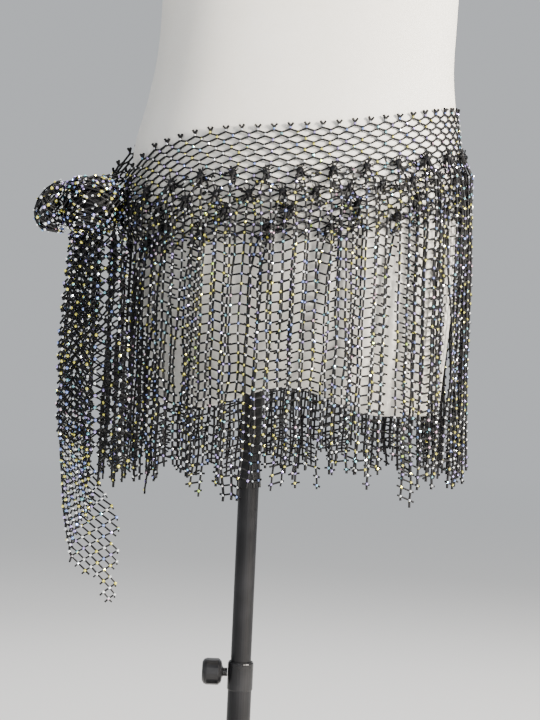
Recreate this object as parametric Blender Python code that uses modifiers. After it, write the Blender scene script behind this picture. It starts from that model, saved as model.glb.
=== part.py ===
"""Fringed net hip belt, tied round a limbless dress form that stands on a telescoping pole.

Metres, +Z up. The front faces -Y, and the origin is under the middle of the base, on the pole's axis.
"Rise" is a height above the form's bottom rim. "Turn" is an angle round the form: 0 at the front,
a quarter turn on the +X side. "Along" is a distance round the hips from the band's front end, and
"drop" a distance down from the band's top edge, both measured on the band laid flat.
"""

import math
from collections import namedtuple

import bmesh
import bpy
import numpy as np

GAP = 0.0003  # between pieces that touch
SEAM = 0.0006  # between cloth pieces that lie on each other

# Stand
RIM_HEIGHT = 0.660
BASE_RADIUS = 0.170
BASE_EDGE = 0.006
BASE_HUB_RADIUS = 0.030
BASE_HUB_HEIGHT = 0.024
TUBE_RADIUS = 0.0125
TUBE_BORE = 0.0112
TUBE_TOP = 0.392
MAST_RADIUS = 0.0107
MAST_WALL = 0.0012
MAST_BOTTOM = 0.180
COLLAR_RADIUS = 0.0134
COLLAR_HEIGHT = 0.030
KNOB_HEIGHT = 0.380
KNOB_STEM_RADIUS = 0.0045
KNOB_START = 0.0138
KNOB_HEAD_START = 0.0190
KNOB_HEAD_RADIUS = 0.0140
KNOB_END = 0.0400
STAND_SIDES = 28

# Form
SOCKET_DEPTH = 0.150
SOCKET_CLEARANCE = 0.0006
ARCH_HEIGHT = 0.025
ARCH_HALF_WIDTH = 0.095
ARCH_MIDDLE = 0.035
FORM_SIDES = 40
SQUARENESS = 2.25  # 2 is an ellipse
Section = namedtuple("Section", "rise middle_x middle_y half_breadth half_depth")
FORM = (
    Section(0.000, 0.047, 0.004, 0.147, 0.110),
    Section(0.040, 0.045, 0.005, 0.152, 0.115),
    Section(0.100, 0.040, 0.006, 0.162, 0.121),
    Section(0.160, 0.037, 0.006, 0.168, 0.123),
    Section(0.215, 0.035, 0.005, 0.170, 0.120),
    Section(0.265, 0.035, 0.004, 0.1685, 0.114),
    Section(0.310, 0.0375, 0.002, 0.160, 0.107),
    Section(0.350, 0.039, 0.000, 0.154, 0.101),
    Section(0.400, 0.041, -0.001, 0.1525, 0.097),
    Section(0.450, 0.041, -0.003, 0.154, 0.099),
    Section(0.510, 0.039, -0.006, 0.161, 0.106),
    Section(0.570, 0.037, -0.008, 0.170, 0.113),
    Section(0.620, 0.037, -0.004, 0.175, 0.108),
    Section(0.665, 0.037, 0.002, 0.178, 0.094),
    Section(0.700, 0.037, 0.006, 0.170, 0.080),
    Section(0.726, 0.037, 0.008, 0.140, 0.068),
    Section(0.742, 0.037, 0.009, 0.096, 0.058),
    Section(0.756, 0.037, 0.009, 0.064, 0.051),
    Section(0.775, 0.037, 0.009, 0.054, 0.049),
    Section(0.815, 0.037, 0.008, 0.051, 0.049),
    Section(0.820, 0.037, 0.008, 0.046, 0.044),
)
FORM_RISES = (
    0.040, 0.075, 0.110, 0.145, 0.180, 0.215, 0.245, 0.275, 0.305, 0.340, 0.385, 0.430,
    0.480, 0.530, 0.575, 0.620, 0.655, 0.685, 0.708, 0.726, 0.742, 0.756, 0.775, 0.815, 0.820,
)  # fmt: skip

# Band
CELL = 0.01617  # width of a net cell; its knots stagger by half of it
CELLS_ROUND = 58
FIRST_TURN = math.radians(-77)
HIP_RISE = 0.215
# Rise of the top edge over x: the belt dips in the middle and rides up towards +X
BAND_TOP_X = (-0.140, -0.115, -0.058, 0.005, 0.067, 0.130, 0.195, 0.215)
BAND_TOP_RISE = (0.2500, 0.2564, 0.2730, 0.2790, 0.2850, 0.2950, 0.3088, 0.3122)
BAND_INSIDE = 0.0011
BAND_WALL = 0.0016
BAND_DROPS = (0.0, 0.017, 0.034, 0.0527, 0.0713, 0.0880, 0.1035)
BAND_DEPTH = BAND_DROPS[-1]
INSIDE_STEP = 2  # the plain inside has every second column
INSIDE_DROPS = (0.0, 0.026, 0.052, 0.078, 0.1035)
GATHER_RUN = 0.055  # the stretch at each end that draws together
BACK_GATHER_RUN = 0.045  # the same at the end that comes round the back
BACK_GATHER_LIFT = 0.018
BACK_LIFT = 0.014  # how much higher the end that comes round the back lies
BACK_LIFT_RUN = 0.15
GATHER_DEPTH = 0.056
GATHER_LIFT = 0.006
PLEAT = 0.0022
KNOT_RISE = 0.206

# Beads: a row for each of the four, counted in half cells
BEAD_RADIUS = 0.0037
BEAD_FLAT = 0.0023
BEAD_PROUD = 0.0038
BeadRow = namedtuple("BeadRow", "drop first every layer flare")
BEAD_ROWS = (
    BeadRow(0.0430, 1, 4, 0.0122, 0.0050),
    BeadRow(0.0627, 3, 4, 0.0099, 0.0038),
    BeadRow(0.0800, 8, 8, 0.0079, 0.0022),
    BeadRow(0.0960, 5, 8, 0.0046, 0.0000),
)

# Fringe
BACKING_START = 0.0045  # below the middle of the bead
BACKING_END = 0.0080
BACKING_THICK = 0.0013
STRAND_WIDTH = 0.0112
TIE_CLEAR = 0.020  # no strand hangs nearer than this to either end of the band
STRAND_THICK = 0.0012
STRAND_BEND = 0.012  # how far below the backing it has swung out to its layer
STRAND_BEND_TIED = 0.005  # the same where the band is drawn together
STRAND_TWIST = math.radians(22)
STRAND_STATIONS = (0.0, 0.35, 0.7, 1.0)
STRAND_SWAY = 0.0022
HEM_RISE = -0.072
HEM_WAVE = 0.030
HEM_LIFT = 0.06  # the ends rise towards +X with the belt
HANG_SECTION = (0.035, 0.0055, 0.1705, 0.1240)  # middle and half sizes that clear every section

# Knot, loop and tails
KNOT_MIDDLE = (-0.1715, -0.050, RIM_HEIGHT + 0.199)
KNOT_HALF = (0.0275, 0.025, 0.028)
KNOT_SQUARE = (0.70, 1.0, 0.75)  # powers that fill the lump out along each axis
KNOT_FOLDS = 5
KNOT_FOLD_DEPTH = 0.08
LOOP_NECK = -0.2010
LOOP_REACH = 0.0285
LOOP_HALF_DEPTH = 0.0175
LOOP_NECK_HALF = 0.0225
LOOP_BULGE = 0.0035
LOOP_SAG = 0.004
NET_WALL = 0.0016
TailEdge = namedtuple("TailEdge", "rise left_x left_y right_x right_y")
UPPER_TAIL = (
    TailEdge(0.167, -0.1930, -0.046, -0.1345, -0.076),
    TailEdge(0.130, -0.1955, -0.044, -0.1300, -0.084),
    TailEdge(0.070, -0.1995, -0.043, -0.1255, -0.092),
    TailEdge(-0.010, -0.1985, -0.046, -0.1210, -0.098),
    TailEdge(-0.080, -0.1945, -0.049, -0.1185, -0.100),
)
UPPER_TAIL_HEM = (-0.038, -0.050, -0.078)  # rise at its left, middle and right
UPPER_TAIL_FOLDS = 2.5
UPPER_TAIL_WAVE = 0.0045
LowerTail = namedtuple("LowerTail", "rise fold_x front_x back_x front_y back_y")
LOWER_TAIL = (
    LowerTail(0.167, -0.1890, -0.160, -0.158, -0.036, -0.028),
    LowerTail(0.100, -0.1970, -0.162, -0.162, -0.030, -0.020),
    LowerTail(0.000, -0.2003, -0.163, -0.164, -0.032, -0.020),
    LowerTail(-0.080, -0.1935, -0.161, -0.156, -0.040, -0.026),
    LowerTail(-0.120, -0.1895, -0.155, -0.134, -0.042, -0.028),
    LowerTail(-0.165, -0.1805, -0.152, -0.132, -0.042, -0.028),
    LowerTail(-0.215, -0.1740, -0.150, -0.1335, -0.042, -0.028),
)
LOWER_TAIL_HEM = (
    (0.00, -0.104), (0.30, -0.136), (0.42, -0.162), (0.57, -0.174), (0.73, -0.182),
    (0.87, -0.196), (0.94, -0.206), (1.00, -0.195),
)  # fmt: skip
LOWER_TAIL_TURN = 0.42  # share of the cloth's width that lies in front of the fold
LOWER_TAIL_WAVE = 0.0022

Finish = namedtuple("Finish", "colour roughness metallic")
NET_BLACK = Finish((0.012, 0.012, 0.014), 0.55, 0.0)
FORM_CLOTH = Finish((0.80, 0.78, 0.74), 0.85, 0.0)
BLACK_METAL = Finish((0.015, 0.015, 0.018), 0.35, 0.6)
BLACK_PLASTIC = Finish((0.02, 0.02, 0.022), 0.3, 0.0)


def clear_scene():
    """Removes what the scene starts with."""
    for obj in list(bpy.data.objects):
        bpy.data.objects.remove(obj, do_unlink=True)


def new_collection(name, shown=True):
    """A collection in the scene, whose contents render only if shown."""
    made = bpy.data.collections.new(name)
    made.hide_render = not shown
    bpy.context.scene.collection.children.link(made)
    return made


def dress(obj, name, finish):
    """Gives the object a Principled material of its own."""
    material = bpy.data.materials.new(name)
    material.use_nodes = True
    shader = material.node_tree.nodes["Principled BSDF"]
    shader.inputs["Base Color"].default_value = (*finish.colour, 1)
    shader.inputs["Roughness"].default_value = finish.roughness
    shader.inputs["Metallic"].default_value = finish.metallic
    obj.data.materials.append(material)


def add_mesh(name, points, faces, collection, finish, smooth=True):
    """An object from points and faces, its normals facing out."""
    mesh = bpy.data.meshes.new(name)
    mesh.from_pydata([tuple(map(float, p)) for p in points], [], [tuple(f) for f in faces])
    shape = bmesh.new()
    shape.from_mesh(mesh)
    bmesh.ops.recalc_face_normals(shape, faces=shape.faces)
    shape.to_mesh(mesh)
    shape.free()
    obj = bpy.data.objects.new(name, mesh)
    collection.objects.link(obj)
    if smooth:
        mesh.shade_smooth()
        mesh.set_sharp_from_angle(angle=math.radians(50))
    dress(obj, name, finish)
    return obj


def smooth_value(xs, ys, x):
    """Height at x of the soft curve through the points (xs, ys)."""
    xs, ys = np.asarray(xs, float), np.asarray(ys, float)
    slopes = np.gradient(ys, xs)
    i = int(np.clip(np.searchsorted(xs, x) - 1, 0, len(xs) - 2))
    run = xs[i + 1] - xs[i]
    t = min(max((x - xs[i]) / run, 0.0), 1.0)
    ends = ys[i] * (1 + 2 * t) * (1 - t) ** 2 + ys[i + 1] * t * t * (3 - 2 * t)
    return ends + run * (slopes[i] * t * (1 - t) ** 2 + slopes[i + 1] * t * t * (t - 1))


def scatter(index, salt):
    """A fixed number from 0 to 1 that looks random."""
    return (math.sin(12.9898 * (index + 1) + 78.233 * salt) * 43758.5453) % 1.0


# ---------------------------------------------------------------- the form's surface


def form_section(rise):
    """Middle and half sizes of the form's level section at a rise."""
    rises = [s.rise for s in FORM]
    return [smooth_value(rises, [s[k] for s in FORM], rise) for k in range(1, 5)]


def rounded(value):
    """Sine or cosine of a turn, drawn out for a slightly square section."""
    return math.copysign(abs(value) ** (2 / SQUARENESS), value)


def on_section(section, rise, turn, out):
    """Point at a turn round a section, some way outside it."""
    middle_x, middle_y, half_breadth, half_depth = section
    return np.array(
        (
            middle_x + (half_breadth + out) * rounded(math.sin(turn)),
            middle_y - (half_depth + out) * rounded(math.cos(turn)),
            RIM_HEIGHT + rise,
        )
    )


def skin(rise, turn, out=0.0):
    """Point on the form at a rise and turn, some way outside it."""
    return on_section(form_section(rise), rise, turn, out)


def hip_ring():
    """Turns and distances round the hips, from the band's front end."""
    turns = np.linspace(FIRST_TURN, FIRST_TURN + 2 * math.pi, 721)
    section = form_section(HIP_RISE)
    points = np.array([on_section(section, HIP_RISE, t, BAND_INSIDE) for t in turns])
    steps = np.linalg.norm(np.diff(points, axis=0), axis=1)
    return turns, np.concatenate([[0.0], np.cumsum(steps)])


RING_TURNS, RING_ALONG = hip_ring()
BAND_LENGTH = CELL * CELLS_ROUND
HALF_CELLS = 2 * CELLS_ROUND


def turn_at(along):
    """Turn round the form at a distance along the band."""
    return float(np.interp(along, RING_ALONG, RING_TURNS))


# ---------------------------------------------------------------- the band's surface


def soft(t):
    """A step from 0 to 1 with level ends."""
    t = min(max(t, 0.0), 1.0)
    return t * t * (3 - 2 * t)


def gather(along):
    """0 where the band lies open, rising to 1 at either end, where it is drawn together."""
    return soft(1 - min(along / GATHER_RUN, (BAND_LENGTH - along) / BACK_GATHER_RUN))


def lift(along):
    """How far the band is carried off the form where it is drawn together."""
    return gather(along) * (GATHER_LIFT if along < BAND_LENGTH / 2 else BACK_GATHER_LIFT)


def band_rise(along, drop):
    """Rise of a place on the band."""
    pull = gather(along)
    top = smooth_value(BAND_TOP_X, BAND_TOP_RISE, skin(HIP_RISE, turn_at(along))[0])
    top += BACK_LIFT * soft(1 - (BAND_LENGTH - along) / BACK_LIFT_RUN)
    tied = KNOT_RISE + (0.5 - drop / BAND_DEPTH) * GATHER_DEPTH
    return (top - drop) * (1 - pull) + tied * pull


def band_point(along, drop, out, pleated=True):
    """Point on the band, some way outside the form. Pleats stand out where it is gathered."""
    row = float(np.interp(drop, BAND_DROPS, range(len(BAND_DROPS))))
    crest = 1 - abs(1 - row % 2)
    pull = gather(along)
    out += lift(along) + (pull * PLEAT * crest if pleated else 0.0)
    return skin(band_rise(along, drop), turn_at(along), out)


OUTSIDE = BAND_INSIDE + BAND_WALL


def bead_cells():
    """(row, column) of each half-cell square that holds a bead, with its bead row."""
    found = {}
    for row, bead_row in enumerate(BEAD_ROWS):
        for column in range(bead_row.first, HALF_CELLS, bead_row.every):
            found[(row + 2, column)] = bead_row
    return found


def add_band(collection):
    """The net band: a closed wall, plain inside, with beads raised on its outside."""
    half = CELL / 2
    points, faces = [], []

    def put(point):
        points.append(point)
        return len(points) - 1

    outer = [
        [put(band_point(c * half, d, OUTSIDE)) for c in range(HALF_CELLS + 1)]
        for d in BAND_DROPS
    ]
    columns = range(0, HALF_CELLS + 1, INSIDE_STEP)
    inner = [
        [put(band_point(c * half, d, BAND_INSIDE, pleated=False)) for c in columns]
        for d in INSIDE_DROPS
    ]
    beads = bead_cells()
    for r in range(len(BAND_DROPS) - 1):
        for c in range(HALF_CELLS):
            ring = [outer[r][c], outer[r + 1][c], outer[r + 1][c + 1], outer[r][c + 1]]
            if (r, c) not in beads:
                faces.append(ring)
                continue
            middle = (c + 0.5) * half
            for size, proud in ((BEAD_RADIUS, 0.0), (BEAD_FLAT, BEAD_PROUD)):
                step = [
                    put(bead_corner(middle, beads[(r, c)].drop, size, proud, i)) for i in range(4)
                ]
                faces += loop_faces(ring, step)
                ring = step
            faces.append(ring)
    for r in range(len(INSIDE_DROPS) - 1):
        for c in range(len(columns) - 1):
            faces.append((inner[r][c], inner[r][c + 1], inner[r + 1][c + 1], inner[r + 1][c]))
    for r_out, r_in in ((0, 0), (-1, -1)):
        for c in range(len(columns) - 1):
            above = outer[r_out][c * INSIDE_STEP : (c + 1) * INSIDE_STEP + 1]
            faces.append((*above, inner[r_in][c + 1], inner[r_in][c]))
    for end in (0, -1):
        faces.append([row[end] for row in outer] + [row[end] for row in reversed(inner)])
    return add_mesh("belt_band", points, faces, collection, NET_BLACK)


def bead_corner(middle, drop, size, proud, i):
    """Corner i of a bead's square, in the order of its cell's corners."""
    sideways, down = ((-1, -1), (-1, 1), (1, 1), (1, -1))[i]
    along = middle + sideways * size
    return band_point(along, drop + down * size, OUTSIDE + proud)


def loop_faces(first, second):
    """The quads between two loops with the same number of points."""
    n = len(first)
    return [(first[i], first[(i + 1) % n], second[(i + 1) % n], second[i]) for i in range(n)]


# ---------------------------------------------------------------- the fringe


def hang_point(along, rise, out):
    """Point on a plumb line that clears the widest part of the form."""
    return on_section(HANG_SECTION, rise, turn_at(along), out)


def hem_rise(along, index):
    """Rise at which a strand ends."""
    x = skin(HIP_RISE, turn_at(along))[0]
    return HEM_RISE + HEM_LIFT * x + HEM_WAVE * (scatter(index, 3) - 0.5)


def strand_corners(middle, across, away, width, thick, twist):
    """The four corners of a strand's level section."""
    wide = (across * math.cos(twist) + away * math.sin(twist)) * width / 2
    deep = (away * math.cos(twist) - across * math.sin(twist)) * thick / 2
    return [middle - wide + deep, middle - wide - deep, middle + wide - deep, middle + wide + deep]


def strand_sections(bead_row, along, index, root_rise):
    """The level sections of one strand, from just below its root to its end."""
    end = hem_rise(along, index)
    # The strands of one group of half cells swing out alike, so that they stay in their layers.
    group, first = CELL * 2, BEAD_ROWS[0].first * CELL / 2
    mate = first + (along - first) // group * group
    if along > BAND_LENGTH / 2:
        mate = min(mate + group, BAND_LENGTH)
    pull = gather(mate)
    start = root_rise - STRAND_BEND + pull * (STRAND_BEND - STRAND_BEND_TIED)
    twist = STRAND_TWIST * (0.3 + 0.7 * scatter(index, 1))
    sway = STRAND_SWAY * (2 * scatter(index, 2) - 1)
    sections = []
    for share in STRAND_STATIONS:
        rise = start + (end - start) * share
        out = bead_row.layer + lift(mate) + bead_row.flare * share
        place = along + sway * share
        middle = hang_point(place, rise, out)
        across = hang_point(place + 0.002, rise, out) - middle
        across /= np.linalg.norm(across)
        away = np.array((across[1], -across[0], 0.0))
        width = STRAND_WIDTH * (1 - 0.25 * share**4)
        sections.append(strand_corners(middle, across, away, width, STRAND_THICK, twist * share))
    return sections


def add_fringe(number, bead_row, collection):
    """A backing strip below a row of beads, with a strand hanging under each bead."""
    half = CELL / 2
    stops = [0.0]
    strands = set()
    for column in range(bead_row.first, HALF_CELLS, bead_row.every):
        middle = (column + 0.5) * half
        if min(middle, BAND_LENGTH - middle) < TIE_CLEAR:
            continue
        left, right = middle - STRAND_WIDTH / 2, middle + STRAND_WIDTH / 2
        gap = left - stops[-1]
        steps = max(1, round(gap / STRAND_WIDTH))
        stops += [stops[-1] + gap * (i + 1) / steps for i in range(steps)]
        strands.add(len(stops) - 1)
        stops.append(right)
    gap = BAND_LENGTH - stops[-1]
    steps = max(1, round(gap / STRAND_WIDTH))
    stops += [stops[-1] + gap * (i + 1) / steps for i in range(steps)]

    points, faces, rings = [], [], []
    top, bottom = bead_row.drop + BACKING_START, bead_row.drop + BACKING_END
    for along in stops:
        inside = OUTSIDE + SEAM * (1 + 2.5 * gather(along))
        corners = (
            band_point(along, top, inside),
            band_point(along, top, inside + BACKING_THICK),
            band_point(along, bottom, inside + BACKING_THICK),
            band_point(along, bottom, inside),
        )
        rings.append(range(len(points), len(points) + 4))
        points.extend(corners)
    faces += [list(rings[0]), list(rings[-1])]
    for k in range(len(stops) - 1):
        a, b = rings[k], rings[k + 1]
        faces += [(a[i], a[i + 1], b[i + 1], b[i]) for i in range(2)] + [(a[3], a[0], b[0], b[3])]
        if k not in strands:
            faces.append((a[2], a[3], b[3], b[2]))
            continue
        ring = (a[2], a[3], b[3], b[2])
        along = (stops[k] + stops[k + 1]) / 2
        root_rise = band_rise(along, bottom)
        for corners in strand_sections(bead_row, along, k * 7 + number, root_rise):
            step = tuple(range(len(points), len(points) + 4))
            points.extend(corners)
            faces += loop_faces(ring, step)
            ring = step
        faces.append(ring)
    return add_mesh(f"fringe_row_{number}", points, faces, collection, NET_BLACK, smooth=False)


# ---------------------------------------------------------------- knot, loop and tails


def add_knot(collection):
    """The tie: a lump with wound folds."""
    shape = bmesh.new()
    bmesh.ops.create_uvsphere(shape, u_segments=22, v_segments=12, radius=1.0)
    for vert in shape.verts:
        x, y, z = vert.co
        lean = math.atan2(y, x) * KNOT_FOLDS + 3.2 * z
        swell = 1 + KNOT_FOLD_DEPTH * math.cos(lean) * (1 - z * z)
        filled = [math.copysign(abs(c) ** p, c) for c, p in zip((x, y, z), KNOT_SQUARE)]
        vert.co = [m + h * swell * c for m, h, c in zip(KNOT_MIDDLE, KNOT_HALF, filled)]
    mesh = bpy.data.meshes.new("tie_knot")
    shape.to_mesh(mesh)
    shape.free()
    mesh.shade_smooth()
    obj = bpy.data.objects.new("tie_knot", mesh)
    collection.objects.link(obj)
    dress(obj, "tie_knot", NET_BLACK)
    return obj


def add_cloth(name, grid, collection):
    """A cloth wall round a grid of points."""
    rows, columns = len(grid), len(grid[0])
    points = [p for row in grid for p in row]
    faces = []
    for r in range(rows - 1):
        for c in range(columns - 1):
            k = r * columns + c
            faces.append((k, k + 1, k + columns + 1, k + columns))
    obj = add_mesh(name, points, faces, collection, NET_BLACK)
    wall = obj.modifiers.new("wall", "SOLIDIFY")
    wall.thickness = NET_WALL
    wall.offset = 0.0
    wall.use_even_offset = True
    return obj


def loop_point(u, v):
    """Point of the bow loop: u goes out from the knot and back, v from its lower to its upper edge."""
    swell = math.sin(math.pi * u)
    edge = math.cos(v * math.pi / 2)
    x = LOOP_NECK - LOOP_REACH * swell * (0.50 + 0.50 * math.sqrt(max(edge, 0.0)))
    plan = LOOP_HALF_DEPTH * math.sin(2 * math.pi * u) + 0.0026 * math.cos(math.pi * u)
    y = KNOT_MIDDLE[1] - plan * (0.72 + 0.28 * edge)
    half = LOOP_NECK_HALF + LOOP_BULGE * swell
    z = KNOT_MIDDLE[2] + 0.0015 - LOOP_SAG * swell + half * math.sin(v * math.pi / 2)
    return np.array((x, y, z))


def add_loop(collection):
    """The bow loop, a ribbon turned back on itself."""
    grid = [[loop_point(u, v) for v in np.linspace(-1, 1, 8)] for u in np.linspace(0, 1, 21)]
    return add_cloth("bow_loop", grid, collection)


def table_value(table, field, rise):
    """Value of a named column at a rise, from a table that runs downwards."""
    rows = table[::-1]
    return smooth_value([r.rise for r in rows], [getattr(r, field) for r in rows], rise)


def add_upper_tail(collection):
    """The wide tail that hangs in front."""
    grid = []
    for v in np.linspace(0, 1, 11):
        row = []
        for u in np.linspace(0, 1, 19):
            end = smooth_value((0, 0.5, 1), UPPER_TAIL_HEM, u)
            rise = UPPER_TAIL[0].rise + (end - UPPER_TAIL[0].rise) * v
            left_x, left_y, right_x, right_y = (
                table_value(UPPER_TAIL, field, rise) for field in UPPER_TAIL[0]._fields[1:]
            )
            fold = math.sin(2 * math.pi * UPPER_TAIL_FOLDS * u + 0.6)
            y = left_y + (right_y - left_y) * u - UPPER_TAIL_WAVE * fold * (0.35 + 0.65 * v)
            row.append(np.array((left_x + (right_x - left_x) * u, y, RIM_HEIGHT + rise)))
        grid.append(row)
    return add_cloth("tail_upper", grid, collection)


def lower_tail_plan(row, u):
    """x and y across the folded tail: from the front layer's edge, round the fold, to the back's."""
    if u < LOWER_TAIL_TURN:
        share = u / LOWER_TAIL_TURN
        return row.front_x + (row.fold_x - row.front_x) * share, row.front_y
    share = (u - LOWER_TAIL_TURN) / (1 - LOWER_TAIL_TURN)
    return row.fold_x + (row.back_x - row.fold_x) * share, row.back_y


def add_lower_tail(collection):
    """The long tail, folded at its left edge, its end cut to a point."""
    shares, hems = zip(*LOWER_TAIL_HEM)
    across = [u for u in np.linspace(0, 1, 23) if abs(u - LOWER_TAIL_TURN) > 0.02]
    grid = []
    for v in np.linspace(0, 1, 11):
        row = []
        for u in across:
            start = LOWER_TAIL[0].rise
            rise = start + (float(np.interp(u, shares, hems)) - start) * v
            values = [table_value(LOWER_TAIL, f, rise) for f in LowerTail._fields[1:]]
            x, y = lower_tail_plan(LowerTail(rise, *values), u)
            y += LOWER_TAIL_WAVE * math.sin(2 * math.pi * (1.7 * u + 1.2 * v))
            row.append(np.array((x, y, RIM_HEIGHT + rise)))
        grid.append(row)
    return add_cloth("tail_lower", grid, collection)


# ---------------------------------------------------------------- form and stand


def arch_rise(x):
    """Rise of the form's underside at x: flat at the sides, arched between."""
    share = (x - ARCH_MIDDLE) / ARCH_HALF_WIDTH
    return ARCH_HEIGHT * math.cos(share * math.pi / 2) ** 2 if abs(share) < 1 else 0.0


def add_form(collection, cutters):
    """The torso form, closed above and below, with a blind socket for the mast."""
    turns = [2 * math.pi * i / FORM_SIDES for i in range(FORM_SIDES)]
    rings = []
    for rise, inset in ((0.0, 0.005), (0.004, 0.0)):
        ring = [skin(rise, t, -inset) for t in turns]
        for p in ring:
            p[2] = RIM_HEIGHT + rise + arch_rise(p[0]) * (1 - rise / FORM_RISES[0])
        rings.append(ring)
    rings += [[skin(rise, t) for t in turns] for rise in FORM_RISES]
    points = [p for ring in rings for p in ring]
    faces = []
    for r in range(len(rings) - 1):
        low = range(r * FORM_SIDES, (r + 1) * FORM_SIDES)
        faces += loop_faces(low, [i + FORM_SIDES for i in low])
    quarter = FORM_SIDES // 4
    front = [i % FORM_SIDES for i in range(-quarter, quarter + 1)]
    back = [(3 * quarter - k) % FORM_SIDES for k in range(2 * quarter + 1)]
    for k in range(2 * quarter):
        corners = dict.fromkeys((front[k], front[k + 1], back[k + 1], back[k]))
        faces.append(list(corners))
    faces.append(range(len(points) - FORM_SIDES, len(points)))
    form = add_mesh("dress_form", points, faces, collection, FORM_CLOTH)

    depth = SOCKET_DEPTH + 0.06
    bpy.ops.mesh.primitive_cylinder_add(
        vertices=STAND_SIDES,
        radius=MAST_RADIUS + SOCKET_CLEARANCE,
        depth=depth,
        location=(0, 0, RIM_HEIGHT + SOCKET_DEPTH - depth / 2),
    )
    cutter = bpy.context.object
    cutter.name = "socket_cutter"
    cutter.hide_render = True
    cutter.display_type = "WIRE"
    move_to(cutter, cutters)
    socket = form.modifiers.new("socket", "BOOLEAN")
    socket.operation = "DIFFERENCE"
    socket.object = cutter
    return form


def move_to(obj, collection):
    """Puts an object in one collection alone."""
    for old in list(obj.users_collection):
        old.objects.unlink(obj)
    collection.objects.link(obj)


def turned(name, profile, collection, finish, closed=False):
    """A piece turned about +Z from (radius, height) points that run down its outer side."""
    points = [(radius, 0.0, height) for radius, height in profile]
    edges = [(i, i + 1) for i in range(len(points) - 1)]
    if closed:
        edges.append((len(points) - 1, 0))
    mesh = bpy.data.meshes.new(name)
    mesh.from_pydata(points, edges, [])
    obj = bpy.data.objects.new(name, mesh)
    collection.objects.link(obj)
    screw = obj.modifiers.new("turn", "SCREW")
    screw.axis = "Z"
    screw.steps = STAND_SIDES
    screw.render_steps = STAND_SIDES
    screw.use_merge_vertices = True
    screw.merge_threshold = 0.00001
    screw.use_smooth_shade = True
    dress(obj, name, finish)
    return obj


def tube_profile(outer, inner, bottom, top):
    """Closed profile of a tube open at both ends."""
    return [(outer, top), (outer, bottom), (inner, bottom), (inner, top)]


def add_stand(collection):
    """Base disc, lower tube with its collar, and the mast that slides in it."""
    hub_bore = TUBE_RADIUS + GAP
    base = [
        (hub_bore, BASE_HUB_HEIGHT),
        (BASE_HUB_RADIUS - 0.004, BASE_HUB_HEIGHT),
        (BASE_HUB_RADIUS, BASE_HUB_HEIGHT - 0.004),
        (BASE_HUB_RADIUS + 0.004, BASE_EDGE + 0.006),
        (BASE_HUB_RADIUS + 0.014, BASE_EDGE + 0.003),
        (BASE_RADIUS - 0.010, BASE_EDGE),
        (BASE_RADIUS - 0.003, BASE_EDGE - 0.001),
        (BASE_RADIUS, BASE_EDGE - 0.004),
        (BASE_RADIUS, 0.0),
        (0.0, 0.0),
        (0.0, BASE_EDGE),
        (hub_bore, BASE_EDGE),
    ]
    turned("base_disc", base + base[:1], collection, BLACK_METAL)
    tube = tube_profile(TUBE_RADIUS, TUBE_BORE, BASE_EDGE + GAP, TUBE_TOP)
    turned("lower_tube", tube, collection, BLACK_METAL, closed=True)
    low, high = TUBE_TOP - COLLAR_HEIGHT, TUBE_TOP - 0.001
    collar = [
        (TUBE_RADIUS + GAP, high),
        (COLLAR_RADIUS - 0.0004, high),
        (COLLAR_RADIUS, high - 0.001),
        (COLLAR_RADIUS, low + 0.001),
        (COLLAR_RADIUS - 0.0004, low),
        (TUBE_RADIUS + GAP, low),
    ]
    turned("clamp_collar", collar, collection, BLACK_PLASTIC, closed=True)
    mast_top = RIM_HEIGHT + SOCKET_DEPTH - GAP
    mast = tube_profile(MAST_RADIUS, MAST_RADIUS - MAST_WALL, MAST_BOTTOM, mast_top)
    turned("mast", mast, collection, BLACK_METAL, closed=True)


def add_knob(collection):
    """The clamp knob, its stem pointing at the pole from -X."""
    head = KNOB_HEAD_RADIUS
    profile = [
        (0.0, KNOB_END),
        (head - 0.004, KNOB_END),
        (head - 0.001, KNOB_END - 0.002),
        (head, KNOB_END - 0.005),
        (head, KNOB_HEAD_START + 0.004),
        (head - 0.003, KNOB_HEAD_START + 0.001),
        (KNOB_STEM_RADIUS + 0.002, KNOB_HEAD_START),
        (KNOB_STEM_RADIUS, KNOB_HEAD_START - 0.001),
        (KNOB_STEM_RADIUS, KNOB_START),
        (0.0, KNOB_START),
    ]
    knob = turned("clamp_knob", profile, collection, BLACK_PLASTIC)
    knob.rotation_euler = (0, -math.pi / 2, 0)
    knob.location = (0, 0, KNOB_HEIGHT)


def main():
    """Builds every piece."""
    clear_scene()
    part = new_collection("belly_dance_hip_belt_on_dress_form")
    cutters = new_collection("cutters", shown=False)
    add_stand(part)
    add_knob(part)
    add_form(part, cutters)
    add_band(part)
    for number, bead_row in enumerate(BEAD_ROWS, start=1):
        add_fringe(number, bead_row, part)
    add_knot(part)
    add_loop(part)
    add_upper_tail(part)
    add_lower_tail(part)


main()
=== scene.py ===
"""Looks of a fringed rhinestone net hip belt, tied round a limbless dress form on a pole stand.

Metres, +Z up, the front faces -Y. "Rise" is a height above the form's bottom rim, "turn" an angle
round the form from its front towards +X, "along" a distance round the hips from the band's front
end, and "drop" a distance down from the band's top edge. These places are those of the solids.
"""

import logging
import math
from dataclasses import dataclass, field
from enum import Enum, IntEnum
from functools import cache, partial
from typing import Callable, Iterable, Sequence

import bmesh
import bpy
import numpy as np
from mathutils import Matrix, Vector


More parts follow.
